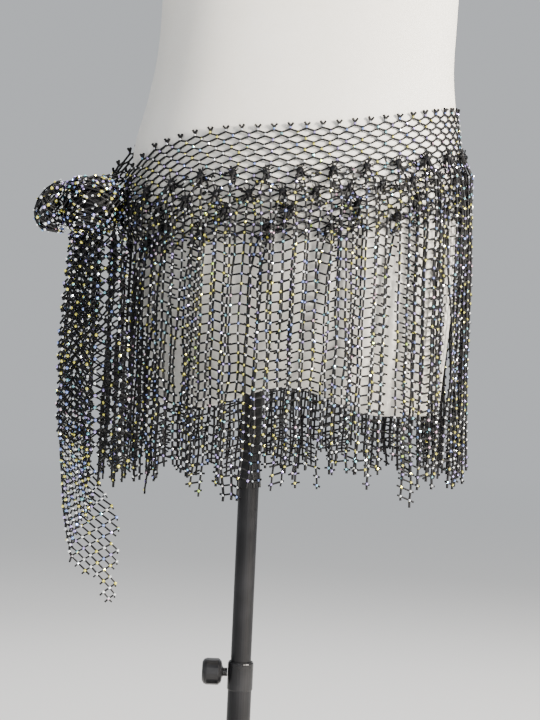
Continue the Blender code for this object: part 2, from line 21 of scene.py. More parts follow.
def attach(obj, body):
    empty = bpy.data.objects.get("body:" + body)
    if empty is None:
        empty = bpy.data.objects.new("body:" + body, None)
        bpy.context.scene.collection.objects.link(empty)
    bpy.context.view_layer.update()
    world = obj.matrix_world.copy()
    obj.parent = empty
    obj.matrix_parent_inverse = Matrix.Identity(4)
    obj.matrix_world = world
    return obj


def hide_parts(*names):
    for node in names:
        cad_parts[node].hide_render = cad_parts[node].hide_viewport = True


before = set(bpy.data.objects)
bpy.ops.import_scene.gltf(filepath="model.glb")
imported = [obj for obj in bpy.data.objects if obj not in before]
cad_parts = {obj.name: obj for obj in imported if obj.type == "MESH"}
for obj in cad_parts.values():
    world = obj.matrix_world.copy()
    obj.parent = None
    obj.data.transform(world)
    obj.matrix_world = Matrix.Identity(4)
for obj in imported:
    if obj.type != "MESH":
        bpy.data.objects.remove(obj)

LOG = logging.getLogger("hip_belt")
RIM_HEIGHT = 0.660
NET_CELL = 0.01617
NET_HALF_ROW = 0.00575
STRIP_WIDTH = 0.1035
STONE_PROUD = 0.0007
SCATTER = (12.9898, 78.233, 43758.5453)
TINY = 1e-12
UP = np.array((0.0, 0.0, 1.0))
BLACK, WHITE = (0.0, 0.0, 0.0), (1.0, 1.0, 1.0)

Point = np.ndarray
Surface = Callable[[float, float], Point]
Tree = bpy.types.NodeTree
Node = bpy.types.Node
Socket = bpy.types.NodeSocket
Material = bpy.types.Material
Object = bpy.types.Object


# ---------------------------------------------------------------- small helpers


class Draw(IntEnum):
    """Which fixed random number of a stone, strip or bead is meant. Some count on from here.

    Draws of different things may share a number.
    """

    FACET_LEAN = 1
    FACET_SPIN = 4
    KNOT_SHIFT = 5
    STRIP_TWIST = 1
    STRIP_SWAY = 2
    STRIP_HEM = 3
    STRIP_TURN = 11
    STRIP_WAVE = 12
    STRIP_PHASE = 13
    STRIP_BEND = 14
    STRIP_SHRINK = 15
    STRIP_LINES = 21
    STRIP_SLANT = 22
    STRIP_FOLD = 23
    STRIP_FLIP = 24
    LAST_RUNG = 30
    TAIL_LENGTH = 41
    TAIL_LEAN = 42
    CUT_DROOP = 50
    PICOT_TIP = 7
    END_LENGTH = 9
    CURL_ANGLE = 60
    CURL_STEP = 70
    CURL_BEND = 80
    CURL_PLACE = 90
    CURL_RIPPLE = 95


def soft_step(value: float) -> float:
    """0 to 1 with flat ends, for a value from 0 to 1."""
    value = min(max(value, 0.0), 1.0)
    return value * value * (3 - 2 * value)


def scatter(index: float, salt: float) -> float:
    """A fixed number from 0 to 1 that looks random."""
    step, turn, times = SCATTER
    return (math.sin(step * (index + 1) + turn * salt) * times) % 1.0


def drawn(span: tuple, index: float, salt: float) -> float:
    """A fixed number that looks random, from the span's least value up by as much as its second."""
    return span[0] + span[1] * scatter(index, salt)


def unit(vector: Point) -> Point:
    """The vector at length 1."""
    return vector / max(float(np.linalg.norm(vector)), TINY)


@dataclass(frozen=True)
class SoftCurve:
    """A soft curve through points, read as a function."""

    xs: tuple
    ys: tuple

    def __call__(self, x: float) -> float:
        """Height of the curve.

        Args:
            x: Where to read it. Beyond either end it stays level.

        Returns:
            The height there.
        """
        xs, ys = self.xs, self.ys
        i = min(max(int(np.searchsorted(xs, x)) - 1, 0), len(xs) - 2)
        run = xs[i + 1] - xs[i]
        t = min(max((x - xs[i]) / run, 0.0), 1.0)
        left, right = self.slope(i), self.slope(i + 1)
        ends = ys[i] * (1 + 2 * t) * (1 - t) ** 2 + ys[i + 1] * t * t * (3 - 2 * t)
        return ends + run * (left * t * (1 - t) ** 2 + right * t * t * (t - 1))

    def slope(self, i: int) -> float:
        """Slope at a point, weighted by the runs on either side as the solids have it.

        Args:
            i: The point's number.

        Returns:
            The slope.
        """
        xs, ys = self.xs, self.ys
        if i == 0:
            return (ys[1] - ys[0]) / (xs[1] - xs[0])
        if i == len(xs) - 1:
            return (ys[-1] - ys[-2]) / (xs[-1] - xs[-2])
        before, after = xs[i] - xs[i - 1], xs[i + 1] - xs[i]
        rise = before**2 * ys[i + 1] + (after**2 - before**2) * ys[i] - after**2 * ys[i - 1]
        return rise / (before * after * (before + after))


def curves_of(table: Sequence) -> dict:
    """Soft curves over the rise through a table that runs upwards.

    Args:
        table: Rows that are dataclasses with a rise among their fields.

    Returns:
        Name of each of the other fields to its curve.
    """
    rises = tuple(row.rise for row in table)
    names = [name for name in table[0].__dataclass_fields__ if name != "rise"]
    return {name: SoftCurve(rises, tuple(getattr(row, name) for row in table)) for name in names}


# ---------------------------------------------------------------- the form and band as surfaces


@dataclass(frozen=True)
class Section:
    """A level section of the form: rise, middle in x and y, and its half sizes."""

    rise: float
    middle_x: float
    middle_y: float
    half_breadth: float
    half_depth: float


FORM_SECTIONS = (
    Section(0.000, 0.047, 0.004, 0.147, 0.110),
    Section(0.040, 0.045, 0.005, 0.152, 0.115),
    Section(0.100, 0.040, 0.006, 0.162, 0.121),
    Section(0.160, 0.037, 0.006, 0.168, 0.123),
    Section(0.215, 0.035, 0.005, 0.170, 0.120),
    Section(0.265, 0.035, 0.004, 0.1685, 0.114),
    Section(0.310, 0.0375, 0.002, 0.160, 0.107),
    Section(0.350, 0.039, 0.000, 0.154, 0.101),
    Section(0.400, 0.041, -0.001, 0.1525, 0.097),
    Section(0.450, 0.041, -0.003, 0.154, 0.099),
    Section(0.510, 0.039, -0.006, 0.161, 0.106),
    Section(0.570, 0.037, -0.008, 0.170, 0.113),
    Section(0.620, 0.037, -0.004, 0.175, 0.108),
    Section(0.665, 0.037, 0.002, 0.178, 0.094),
    Section(0.700, 0.037, 0.006, 0.170, 0.080),
    Section(0.726, 0.037, 0.008, 0.140, 0.068),
    Section(0.742, 0.037, 0.009, 0.096, 0.058),
    Section(0.756, 0.037, 0.009, 0.064, 0.051),
    Section(0.775, 0.037, 0.009, 0.054, 0.049),
    Section(0.815, 0.037, 0.008, 0.051, 0.049),
    Section(0.820, 0.037, 0.008, 0.046, 0.044),
)


@dataclass
class FormSurface:
    """The torso form's skin as a function of rise and turn."""

    squareness: float = 2.25
    curves: dict = field(default_factory=lambda: curves_of(FORM_SECTIONS))

    def section(self, rise: float) -> list:
        """Middle and half sizes of the level section at a rise."""
        return [curve(rise) for curve in self.curves.values()]

    def on_section(self, section: Sequence, rise: float, turn: float, out: float) -> Point:
        """Point on a section, or some way outside it.

        Args:
            section: Its middle and half sizes.
            rise: Its rise.
            turn: Angle round the form.
            out: How far outside it.

        Returns:
            The point.
        """
        middle_x, middle_y, half_breadth, half_depth = section
        across, ahead = (
            math.copysign(abs(v) ** (2 / self.squareness), v) for v in (math.sin(turn), math.cos(turn))
        )
        x = middle_x + (half_breadth + out) * across
        y = middle_y - (half_depth + out) * ahead
        return np.array((x, y, RIM_HEIGHT + rise))

    def skin(self, rise: float, turn: float, out: float = 0.0) -> Point:
        """Point on the form at a rise and turn, or some way outside it."""
        return self.on_section(self.section(rise), rise, turn, out)


@dataclass(frozen=True)
class BeadRow:
    """A row of beads and the fringe that hangs under it.

    It has its drop, its first half cell and step, how far off the hips its strips hang and how much
    further at the hem, and how far they drift along the band on their way down.
    """

    drop: float
    first: int
    every: int
    layer: float
    flare: float
    drift: float


BEAD_ROWS = (
    BeadRow(0.0430, 1, 4, 0.0122, 0.0050, 0.0032),
    BeadRow(0.0627, 3, 4, 0.0099, 0.0038, -0.0016),
    BeadRow(0.0800, 8, 8, 0.0079, 0.0022, 0.0),
    BeadRow(0.0960, 5, 8, 0.0046, 0.0000, -0.0073),
)


@dataclass
class BandSurface:
    """The hip band as a function of the distance along it and down from its top edge."""

    form: FormSurface
    cell: float = NET_CELL
    cells_round: int = 58
    first_turn: float = math.radians(-77)
    turn_steps: int = 720
    hip_rise: float = 0.215
    top: SoftCurve = SoftCurve(
        (-0.140, -0.115, -0.058, 0.005, 0.067, 0.130, 0.195, 0.215),
        (0.2500, 0.2564, 0.2730, 0.2790, 0.2850, 0.2950, 0.3088, 0.3122),
    )
    inside: float = 0.0011
    wall: float = 0.0016
    depth: float = STRIP_WIDTH
    gather_run: float = 0.055
    back_gather_run: float = 0.045
    back_gather_lift: float = 0.018
    back_lift: float = 0.014
    back_lift_run: float = 0.15
    gather_depth: float = 0.056
    gather_lift: float = 0.006
    pleat: float = 0.0022
    knot_rise: float = 0.206
    drops: tuple = (0.0, 0.017, 0.034, 0.0527, 0.0713, 0.0880, 0.1035)
    hang_section: tuple = (0.035, 0.0055, 0.1705, 0.1240)

    def __post_init__(self) -> None:
        """Measures the hips, so that a distance along the band gives a turn."""
        last_turn = self.first_turn + 2 * math.pi
        self.turns = np.linspace(self.first_turn, last_turn, self.turn_steps + 1)
        hips = self.form.section(self.hip_rise)
        ring = [self.form.on_section(hips, self.hip_rise, t, self.inside) for t in self.turns]
        steps = np.linalg.norm(np.diff(np.array(ring), axis=0), axis=1)
        self.distances = np.concatenate([[0.0], np.cumsum(steps)])
        self.length = self.cell * self.cells_round
        self.outside = self.inside + self.wall

    def turn_at(self, along: float) -> float:
        """Turn round the form at a distance along the band."""
        return float(np.interp(along, self.distances, self.turns))

    def gather(self, along: float) -> float:
        """0 where the band lies open, rising to 1 at either end."""
        back = (self.length - along) / self.back_gather_run
        return soft_step(1 - min(along / self.gather_run, back))

    def lift(self, along: float) -> float:
        """How far the band is carried off the form where it is drawn together."""
        return self.gather(along) * (self.gather_lift if along < self.length / 2 else self.back_gather_lift)

    def rise(self, along: float, drop: float) -> float:
        """Rise of a place on the band.

        Args:
            along: Its distance along the band.
            drop: Its distance down from the top edge.

        Returns:
            The rise.
        """
        pull = self.gather(along)
        hip = self.form.skin(self.hip_rise, self.turn_at(along))
        tied = self.knot_rise + (0.5 - drop / self.depth) * self.gather_depth
        lift = self.back_lift * soft_step(1 - (self.length - along) / self.back_lift_run)
        return (self.top(float(hip[0])) + lift - drop) * (1 - pull) + tied * pull

    def point(self, along: float, drop: float, out: float) -> Point:
        """Point on the band, whose pleats stand out where it is gathered.

        Args:
            along: Its distance along the band.
            drop: Its distance down from the top edge.
            out: How far outside the form.

        Returns:
            The point.
        """
        row = float(np.interp(drop, self.drops, range(len(self.drops))))
        crest = 1 - abs(1 - row % 2)
        out += self.lift(along) + self.gather(along) * self.pleat * crest
        return self.form.skin(self.rise(along, drop), self.turn_at(along), out)

    def hang(self, along: float, rise: float, out: float) -> Point:
        """Point on a plumb line that clears the widest part of the form."""
        return self.form.on_section(self.hang_section, rise, self.turn_at(along), out)


# ---------------------------------------------------------------- finishes


def group_of(name: str, inputs: dict, outputs: Iterable[str]) -> tuple:
    """Starts a shader node group.

    Args:
        name: The group's name.
        inputs: Name of each input to its default number.
        outputs: Names of its outputs, which are numbers.

    Returns:
        The node tree, its input node and its output node.
    """
    tree = bpy.data.node_groups.new(name, "ShaderNodeTree")
    for label, value in inputs.items():
        made = tree.interface.new_socket(name=label, in_out="INPUT", socket_type="NodeSocketFloat")
        made.default_value = value
    for label in outputs:
        tree.interface.new_socket(name=label, in_out="OUTPUT", socket_type="NodeSocketFloat")
    return tree, tree.nodes.new("NodeGroupInput"), tree.nodes.new("NodeGroupOutput")


def join(tree: Tree, source: Socket, target: Socket) -> None:
    """Links two sockets."""
    tree.links.new(source, target)


def maths(tree: Tree, operation: str, first: object, second: object = None) -> Socket:
    """Adds a Math node.

    Args:
        tree: Where it goes.
        operation: Blender's name for what it does.
        first: A socket or a number.
        second: A socket or a number, if it takes two.

    Returns:
        Its output.
    """
    node = tree.nodes.new("ShaderNodeMath")
    node.operation = operation
    for socket, value in zip(node.inputs, (first, second)):
        if isinstance(value, Socket):
            join(tree, value, socket)
        elif value is not None:
            socket.default_value = value
    return node.outputs[0]


@cache
def mottle_group() -> Tree:
    """Makes the group for soft patches and fine grain, whose sizes are given in metres.

    Returns:
        The group. Its outputs run from 0 to 1.
    """
    inputs = {"Patch Size": 0.05, "Grain Size": 0.001}
    tree, given, made = group_of("mottle", inputs, ("Patches", "Grain"))
    place = tree.nodes.new("ShaderNodeTexCoord")
    for size, label, detail in (("Patch Size", "Patches", 3.0), ("Grain Size", "Grain", 2.0)):
        noise = tree.nodes.new("ShaderNodeTexNoise")
        noise.inputs["Detail"].default_value = detail
        join(tree, place.outputs["Object"], noise.inputs["Vector"])
        join(tree, maths(tree, "DIVIDE", 1.0, given.outputs[size]), noise.inputs["Scale"])
        join(tree, noise.outputs["Fac"], made.inputs[label])
    return tree


@cache
def weave_group() -> Tree:
    """Makes the group for a plain weave, with threads round the form and up it, over and under.

    Returns:
        The group. It puts out the threads' height and where the gaps between them are dark, which the cloth
        uses for painted shade in the gaps.
    """
    radius, slubs_a_metre, thread_share = 0.15, 260.0, 0.4
    inputs = {"Thread": 0.0006, "Slub": 0.3}
    tree, given, made = group_of("plain_weave", inputs, ("Height", "Dark"))
    place = tree.nodes.new("ShaderNodeTexCoord")
    split = tree.nodes.new("ShaderNodeSeparateXYZ")
    join(tree, place.outputs["Object"], split.inputs[0])
    wobble = tree.nodes.new("ShaderNodeTexNoise")
    wobble.inputs["Scale"].default_value = slubs_a_metre
    join(tree, place.outputs["Object"], wobble.inputs["Vector"])
    stray = maths(tree, "SUBTRACT", wobble.outputs["Fac"], 0.5)
    slub = maths(tree, "MULTIPLY", stray, given.outputs["Slub"])
    around = maths(tree, "ARCTAN2", split.outputs["Y"], split.outputs["X"])
    phases = []
    for length in (maths(tree, "MULTIPLY", around, radius), split.outputs["Z"]):
        turns = maths(tree, "MULTIPLY", maths(tree, "DIVIDE", length, given.outputs["Thread"]), math.pi)
        phases.append(maths(tree, "ADD", turns, slub))
    warp, weft = (maths(tree, "ABSOLUTE", maths(tree, "SINE", phase)) for phase in phases)
    cross = maths(tree, "MULTIPLY", *(maths(tree, "COSINE", phase) for phase in phases))
    threads = maths(tree, "MULTIPLY", maths(tree, "ADD", warp, weft), thread_share)
    join(tree, maths(tree, "ADD", threads, cross), made.inputs["Height"])
    join(tree, maths(tree, "MULTIPLY", warp, weft), made.inputs["Dark"])
    return tree


def place_group(tree: Tree, group: Tree, **values: float) -> Node:
    """Places a group in a material.

    Args:
        tree: The material's tree.
        group: The group.
        values: Its inputs, with an underscore for each space in their names.

    Returns:
        The group's node.
    """
    node = tree.nodes.new("ShaderNodeGroup")
    node.node_tree = group
    for label, value in values.items():
        node.inputs[label.replace("_", " ")].default_value = value
    return node


def blend_colours(tree: Tree, share: Socket, stops: Iterable, stepped: bool = False) -> Socket:
    """Adds a colour ramp.

    Args:
        tree: Where it goes.
        share: What it reads.
        stops: (place, colour) pairs.
        stepped: Whether each colour holds up to the next.

    Returns:
        Its colour.
    """
    ramp = tree.nodes.new("ShaderNodeValToRGB")
    ramp.color_ramp.interpolation = "CONSTANT" if stepped else "LINEAR"
    points = ramp.color_ramp.elements
    for i, (place, colour) in enumerate(stops):
        stop = points[i] if i < 2 else points.new(place)
        stop.position = place
        stop.color = (*colour, 1)
    join(tree, share, ramp.inputs["Fac"])
    return ramp.outputs["Color"]


def map_range(tree: Tree, value: Socket, low: float, high: float) -> Socket:
    """The value from 0 to 1 spread over low to high."""
    return maths(tree, "ADD", maths(tree, "MULTIPLY", value, high - low), low)


def add_bump(tree: Tree, shader: Node, height: Socket, depth: float) -> None:
    """Raises the surface by a height field.

    Args:
        tree: The material's tree.
        shader: Its shader.
        height: The field.
        depth: Metres for a height of 1.
    """
    bump = tree.nodes.new("ShaderNodeBump")
    bump.inputs["Strength"].default_value = 1.0
    bump.inputs["Distance"].default_value = depth
    join(tree, height, bump.inputs["Height"])
    join(tree, bump.outputs["Normal"], shader.inputs["Normal"])


@dataclass(frozen=True)
class Finish:
    """What every finish has: a name, the record's slot, and plain surface values."""

    name: str
    slot: str
    colour: tuple
    roughness: float
    metallic: float = 0.0
    coat: float = 0.0
    coat_roughness: float = 0.05
    sheen: float = 0.0
    specular: float = 0.5

    def start(self) -> tuple:
        """Starts a material with this finish's plain values.

        Returns:
            The material, its tree and its shader.
        """
        material = bpy.data.materials.new(self.name)
        material.use_nodes = True
        tree = material.node_tree
        shader = tree.nodes["Principled BSDF"]
        plain = {
            "Base Color": (*self.colour, 1),
            "Roughness": self.roughness,
            "Metallic": self.metallic,
            "Coat Weight": self.coat,
            "Coat Roughness": self.coat_roughness,
            "Sheen Weight": self.sheen,
            "Specular IOR Level": self.specular,
        }
        for label, value in plain.items():
            shader.inputs[label].default_value = value
        return material, tree, shader

    def roughen(self, tree: Tree, shader: Node, share: Socket, smoother: float, rougher: float) -> None:
        """Lets the roughness stray below the finish's own, where the share is 0, to above it at 1."""
        rough = map_range(tree, share, self.roughness - smoother, self.roughness + rougher)
        join(tree, rough, shader.inputs["Roughness"])

    def make(self) -> Material:
        """The material, which each kind of finish makes in its own way."""
        raise NotImplementedError


@dataclass(frozen=True)
class ThreadFinish(Finish):
    """Black nylon net thread, slightly shiny, with a fine twist.

    Its shades are (place on the ramp, times its colour).
    """

    patch: float = 0.02
    grain: float = 0.0004
    shades: tuple = ((0.3, 0.55), (0.7, 1.7))
    stray: float = 0.12
    twist_depth: float = 0.00025

    def make(self) -> Material:
        """Makes the material.

        Returns:
            The material.
        """
        material, tree, shader = self.start()
        mottle = place_group(tree, mottle_group(), Patch_Size=self.patch, Grain_Size=self.grain)
        stops = [(place, tuple(c * times for c in self.colour)) for place, times in self.shades]
        join(tree, blend_colours(tree, mottle.outputs["Patches"], stops), shader.inputs["Base Color"])
        self.roughen(tree, shader, mottle.outputs["Grain"], self.stray, self.stray)
        add_bump(tree, shader, mottle.outputs["Grain"], self.twist_depth)
        return material


@dataclass(frozen=True)
class StoneFinish(Finish):
    """Clear foiled rhinestone with a rainbow coating, each stone its own tint.

    The patch share says how far neighbours lean to the same tints, and the second draw turns a
    stone's random number into another one for its polish.
    """

    tints: tuple = ()
    film: float = 380.0
    film_ior: float = 1.45
    patch: float = 0.045
    grain: float = 0.01
    patch_share: float = 0.45
    patch_turns: float = 3.0
    second_draw: float = 37.7
    polish: tuple = (0.04, 0.22)

    def make(self) -> Material:
        """Makes the material.

        Returns:
            The material.
        """
        material, tree, shader = self.start()
        each = tree.nodes.new("ShaderNodeNewGeometry").outputs["Random Per Island"]
        mottle = place_group(tree, mottle_group(), Patch_Size=self.patch, Grain_Size=self.grain)
        spread = maths(tree, "MULTIPLY", each, 1 - self.patch_share)
        patches = maths(tree, "MULTIPLY", mottle.outputs["Patches"], self.patch_turns * self.patch_share)
        share = maths(tree, "FRACT", maths(tree, "ADD", spread, patches))
        join(tree, blend_colours(tree, share, self.tints, stepped=True), shader.inputs["Base Color"])
        again = maths(tree, "FRACT", maths(tree, "MULTIPLY", each, self.second_draw))
        join(tree, map_range(tree, again, *self.polish), shader.inputs["Roughness"])
        shader.inputs["Thin Film Thickness"].default_value = self.film
        shader.inputs["Thin Film IOR"].default_value = self.film_ior
        return material


@dataclass(frozen=True)
class ClothFinish(Finish):
    """The form's cover: a fine plain weave, slightly soiled and slubbed, with painted shade in the gaps
    between its threads.
    """

    thread: float = 0.0008
    slub: float = 1.4
    patch: float = 0.16
    grain: float = 0.003
    patch_weight: float = 0.7
    soil: tuple = (0.93, 0.91, 0.87)
    soil_ends: tuple = (0.32, 0.68)
    # Painted shade: the colour that darkens the gaps between the weave's threads.
    gap_shade: tuple = (0.80, 0.79, 0.77)
    gap_end: float = 0.5
    stray: float = 0.06
    weave_depth: float = 0.00016

    def make(self) -> Material:
        """Makes the material.

        Returns:
            The material.
        """
        material, tree, shader = self.start()
        mottle = place_group(tree, mottle_group(), Patch_Size=self.patch, Grain_Size=self.grain)
        weave = place_group(tree, weave_group(), Thread=self.thread, Slub=self.slub)
        patches = maths(tree, "MULTIPLY", mottle.outputs["Patches"], self.patch_weight)
        grains = maths(tree, "MULTIPLY", mottle.outputs["Grain"], 1 - self.patch_weight)
        soiled = tuple(c * f for c, f in zip(self.colour, self.soil))
        stops = zip(self.soil_ends, (soiled, self.colour))
        colour = blend_colours(tree, maths(tree, "ADD", patches, grains), stops)
        # Painted shade: the gaps between the weave's threads are darkened in the cloth's colour.
        gaps = ((0.0, self.gap_shade), (self.gap_end, WHITE))
        mix = tree.nodes.new("ShaderNodeMix")
        mix.data_type = "RGBA"
        mix.blend_type = "MULTIPLY"
        mix.inputs["Factor"].default_value = 1.0
        join(tree, colour, mix.inputs["A"])
        join(tree, blend_colours(tree, weave.outputs["Dark"], gaps), mix.inputs["B"])
        join(tree, mix.outputs["Result"], shader.inputs["Base Color"])
        self.roughen(tree, shader, mottle.outputs["Grain"], self.stray, self.stray)
        add_bump(tree, shader, weave.outputs["Height"], self.weave_depth)
        return material


@dataclass(frozen=True)
class HardFinish(Finish):
    """Paint or moulded plastic: fine orange peel, and wear that lifts the colour in patches."""

    patch: float = 0.03
    peel: float = 0.0012
    peel_depth: float = 0.00004
    worn: tuple = (0.05, 0.05, 0.055)
    wear_ends: tuple = (0.45, 0.75)
    smoother: float = 0.10
    rougher: float = 0.15

    def make(self) -> Material:
        """Makes the material.

        Returns:
            The material.
        """
        material, tree, shader = self.start()
        mottle = place_group(tree, mottle_group(), Patch_Size=self.patch, Grain_Size=self.peel)
        stops = zip(self.wear_ends, (self.colour, self.worn))
        join(tree, blend_colours(tree, mottle.outputs["Patches"], stops), shader.inputs["Base Color"])
        self.roughen(tree, shader, mottle.outputs["Patches"], self.smoother, self.rougher)
        add_bump(tree, shader, mottle.outputs["Grain"], self.peel_depth)
        return material


ICE, SILVER = (0.95, 0.98, 1.0), (0.82, 0.86, 0.92)
LEMON, LIME, AQUA = (0.98, 0.90, 0.16), (0.64, 0.95, 0.14), (0.36, 0.82, 0.94)
BLUE, VIOLET, PINK = (0.32, 0.44, 0.98), (0.58, 0.46, 0.97), (0.97, 0.62, 0.80)
STONE_TINTS = (
    (0.00, ICE), (0.15, LEMON), (0.30, ICE), (0.38, LIME), (0.49, SILVER), (0.57, PINK), (0.62, ICE),
    (0.70, VIOLET), (0.78, BLUE), (0.85, AQUA), (0.90, LEMON), (0.95, SILVER),
)  # fmt: skip

THREAD = ThreadFinish("net_thread", "net", (0.005, 0.005, 0.006), 0.55, specular=0.25)
STONE = StoneFinish(
    "rhinestone", "net", ICE, 0.1, metallic=0.6, coat=1.0, coat_roughness=0.02, tints=STONE_TINTS
)
BEAD = HardFinish(
    "black_cut_bead",
    "net",
    (0.003, 0.003, 0.004),
    0.20,
    specular=0.32,
    peel_depth=0.0,
    worn=(0.006, 0.006, 0.007),
)
FORM_CLOTH = ClothFinish("form_cloth", "form_cloth", (0.90, 0.885, 0.85), 0.86, sheen=0.12)
STAND_PAINT = HardFinish(
    "stand_paint",
    "stand_metal",
    (0.005, 0.005, 0.006),
    0.34,
    specular=0.28,
    worn=(0.012, 0.012, 0.014),
)
CLAMP_PLASTIC = HardFinish(
    "clamp_plastic",
    "clamp_plastic",
    (0.006, 0.006, 0.007),
    0.28,
    specular=0.35,
    peel=0.0007,
    worn=(0.014, 0.014, 0.016),
)


@cache
def material_of(finish: Finish) -> Material:
    """The finish's material, made once."""
    return finish.make()


def dress(piece: Object, finish: Finish) -> None:
    """Gives a piece its finish.

    Args:
        piece: What is dressed.
        finish: Its finish.
    """
    piece.data.materials.clear()
    piece.data.materials.append(material_of(finish))


# ---------------------------------------------------------------- threads, stones and beads


def add_object(
    name: str, points: Iterable, faces: Iterable, finish: Finish, body: str = "form", smooth: bool = True
) -> Object:
    """Adds a mesh object that rides on a body.

    Args:
        name: The piece's name.
        points: Its points.
        faces: Its faces, as lists of point numbers.
        finish: Its finish.
        body: The body it rides on.
        smooth: Whether it is shaded smooth.

    Returns:
        The object.
    """
    mesh = bpy.data.meshes.new(name)
    mesh.from_pydata([tuple(map(float, p)) for p in points], [], [tuple(f) for f in faces])
    if smooth:
        mesh.shade_smooth()
    else:
        mesh.shade_flat()
    obj = bpy.data.objects.new(name, mesh)
    bpy.context.scene.collection.objects.link(obj)
    dress(obj, finish)
    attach(obj, body)
    LOG.info("%s: %d points, %d faces", name, len(mesh.vertices), len(mesh.polygons))
    return obj


def ring_faces(rings: int, sides: int) -> list:
    """Four-sided faces between level rings of points.

    Args:
        rings: How many rings there are, from the lowest up.
        sides: Points round each.

    Returns:
        The faces, as point numbers.
    """
    return [
        (r * sides + i, r * sides + (i + 1) % sides, (r + 1) * sides + (i + 1) % sides, (r + 1) * sides + i)
        for r in range(rings - 1)
        for i in range(sides)
    ]


@dataclass
class Threads:
    """Straight runs of net thread, each an open four-sided tube."""

    size: float = 0.0016
    starts: list = field(default_factory=list)
    ends: list = field(default_factory=list)
    normals: list = field(default_factory=list)
    sizes: list = field(default_factory=list)

    def add(self, start: Point, end: Point, normal: Point, times: float = 1.0) -> None:
        """Adds a run.

        Args:
            start: Where it starts.
            end: Where it ends.
            normal: What one side of it faces.
            times: How thick it is, against the others.
        """
        self.starts.append(start)
        self.ends.append(end)
        self.normals.append(normal)
        self.sizes.append(self.size * times)

    def build(self, name: str) -> Object:
        """Joins all runs in one piece.

        Args:
            name: The piece's name.

        Returns:
            The piece.
        """
        starts, ends, normals = (np.array(v) for v in (self.starts, self.ends, self.normals))
        along = ends - starts
        along /= np.maximum(np.linalg.norm(along, axis=1, keepdims=True), TINY)
        side = np.cross(along, normals)
        side /= np.maximum(np.linalg.norm(side, axis=1, keepdims=True), TINY)
        up = np.cross(side, along)
        half = np.array(self.sizes)[:, None] / 2
        corners = [
            place + half * (a * side + b * up)
            for place in (starts, ends)
            for a, b in ((-1, -1), (1, -1), (1, 1), (-1, 1))
        ]
        points = np.stack(corners, axis=1).reshape(-1, 3)
        pattern = np.array([(i, i + 4, (i + 1) % 4 + 4, (i + 1) % 4) for i in range(4)])
        faces = (np.arange(len(starts))[:, None, None] * len(corners) + pattern).reshape(-1, 4)
        return add_object(name, points, faces.tolist(), THREAD)


@dataclass
class Gems:
    """Many copies of one small cut shape, joined in one piece. Each may lean and is spun by chance."""

    size: float
    finish: Finish
    lean: float = 0.0
    places: list = field(default_factory=list)
    facings: list = field(default_factory=list)

    def add(self, place: Point, facing: Point) -> None:
        """Adds one, facing that way."""
        self.places.append(place)
        self.facings.append(facing)

    def shape(self) -> tuple:
        """Points and faces of one of size 1, facing +Z."""
        raise NotImplementedError

    def build(self, name: str) -> Object:
        """Joins all of them in one piece.

        Args:
            name: The piece's name.

        Returns:
            The piece.
        """
        never_ahead = (0.1, 0.2, 1.0)
        pattern, sides = self.shape()
        points, faces = [], []
        for i, (place, facing) in enumerate(zip(self.places, self.facings)):
            leans = np.array([scatter(i, Draw.FACET_LEAN + k) - 0.5 for k in range(3)]) * self.lean
            ahead = unit(unit(facing) + leans)
            right = unit(np.cross(ahead, never_ahead))
            spin = scatter(i, Draw.FACET_SPIN) * math.pi
            right = right * math.cos(spin) + np.cross(ahead, right) * math.sin(spin)
            axes = np.array((right, np.cross(ahead, right), ahead)) * self.size / 2
            first = len(points)
            points.extend(place + pattern @ axes)
            faces.extend([first + k for k in face] for face in sides)
        return add_object(name, points, faces, self.finish, smooth=False)


@dataclass
class Stones(Gems):
    """Flat-backed rhinestones: a cut crown with a table, and a shallow back."""

    size: float = 0.0036
    finish: Finish = STONE
    lean: float = 0.7
    sides: int = 6
    table: float = 0.5
    table_turn: float = 0.5
    crown: float = 0.62
    back: float = 0.55

    def shape(self) -> tuple:
        """Cuts one stone.

        Returns:
            Points and faces of one of size 1, facing +Z.
        """
        n = self.sides
        turns = [2 * math.pi / n * i for i in range(n)]
        girdle = [(math.cos(t), math.sin(t), 0.0) for t in turns]
        turned = [t + self.table_turn for t in turns]
        table = [(self.table * math.cos(t), self.table * math.sin(t), self.crown) for t in turned]
        points = np.array([*girdle, *table, (0.0, 0.0, -self.back)])
        faces = [(i, (i + 1) % n, (i + 1) % n + n, i + n) for i in range(n)]
        faces.append(tuple(range(n, 2 * n)))
        faces += [((i + 1) % n, i, 2 * n) for i in range(n)]
        return points, faces


@dataclass
class Beads(Gems):
    """Round beads with cut facets."""

    size: float = 0.0080
    finish: Finish = BEAD

    def shape(self) -> tuple:
        """Cuts one bead.

        Returns:
            Points and faces of one of size 1.
        """
        ball = bmesh.new()
        bmesh.ops.create_icosphere(ball, subdivisions=2, radius=1.0)
        ball.verts.index_update()
        points = np.array([tuple(v.co) for v in ball.verts])
        faces = [tuple(v.index for v in f.verts) for f in ball.faces]
        ball.free()
        return points, faces


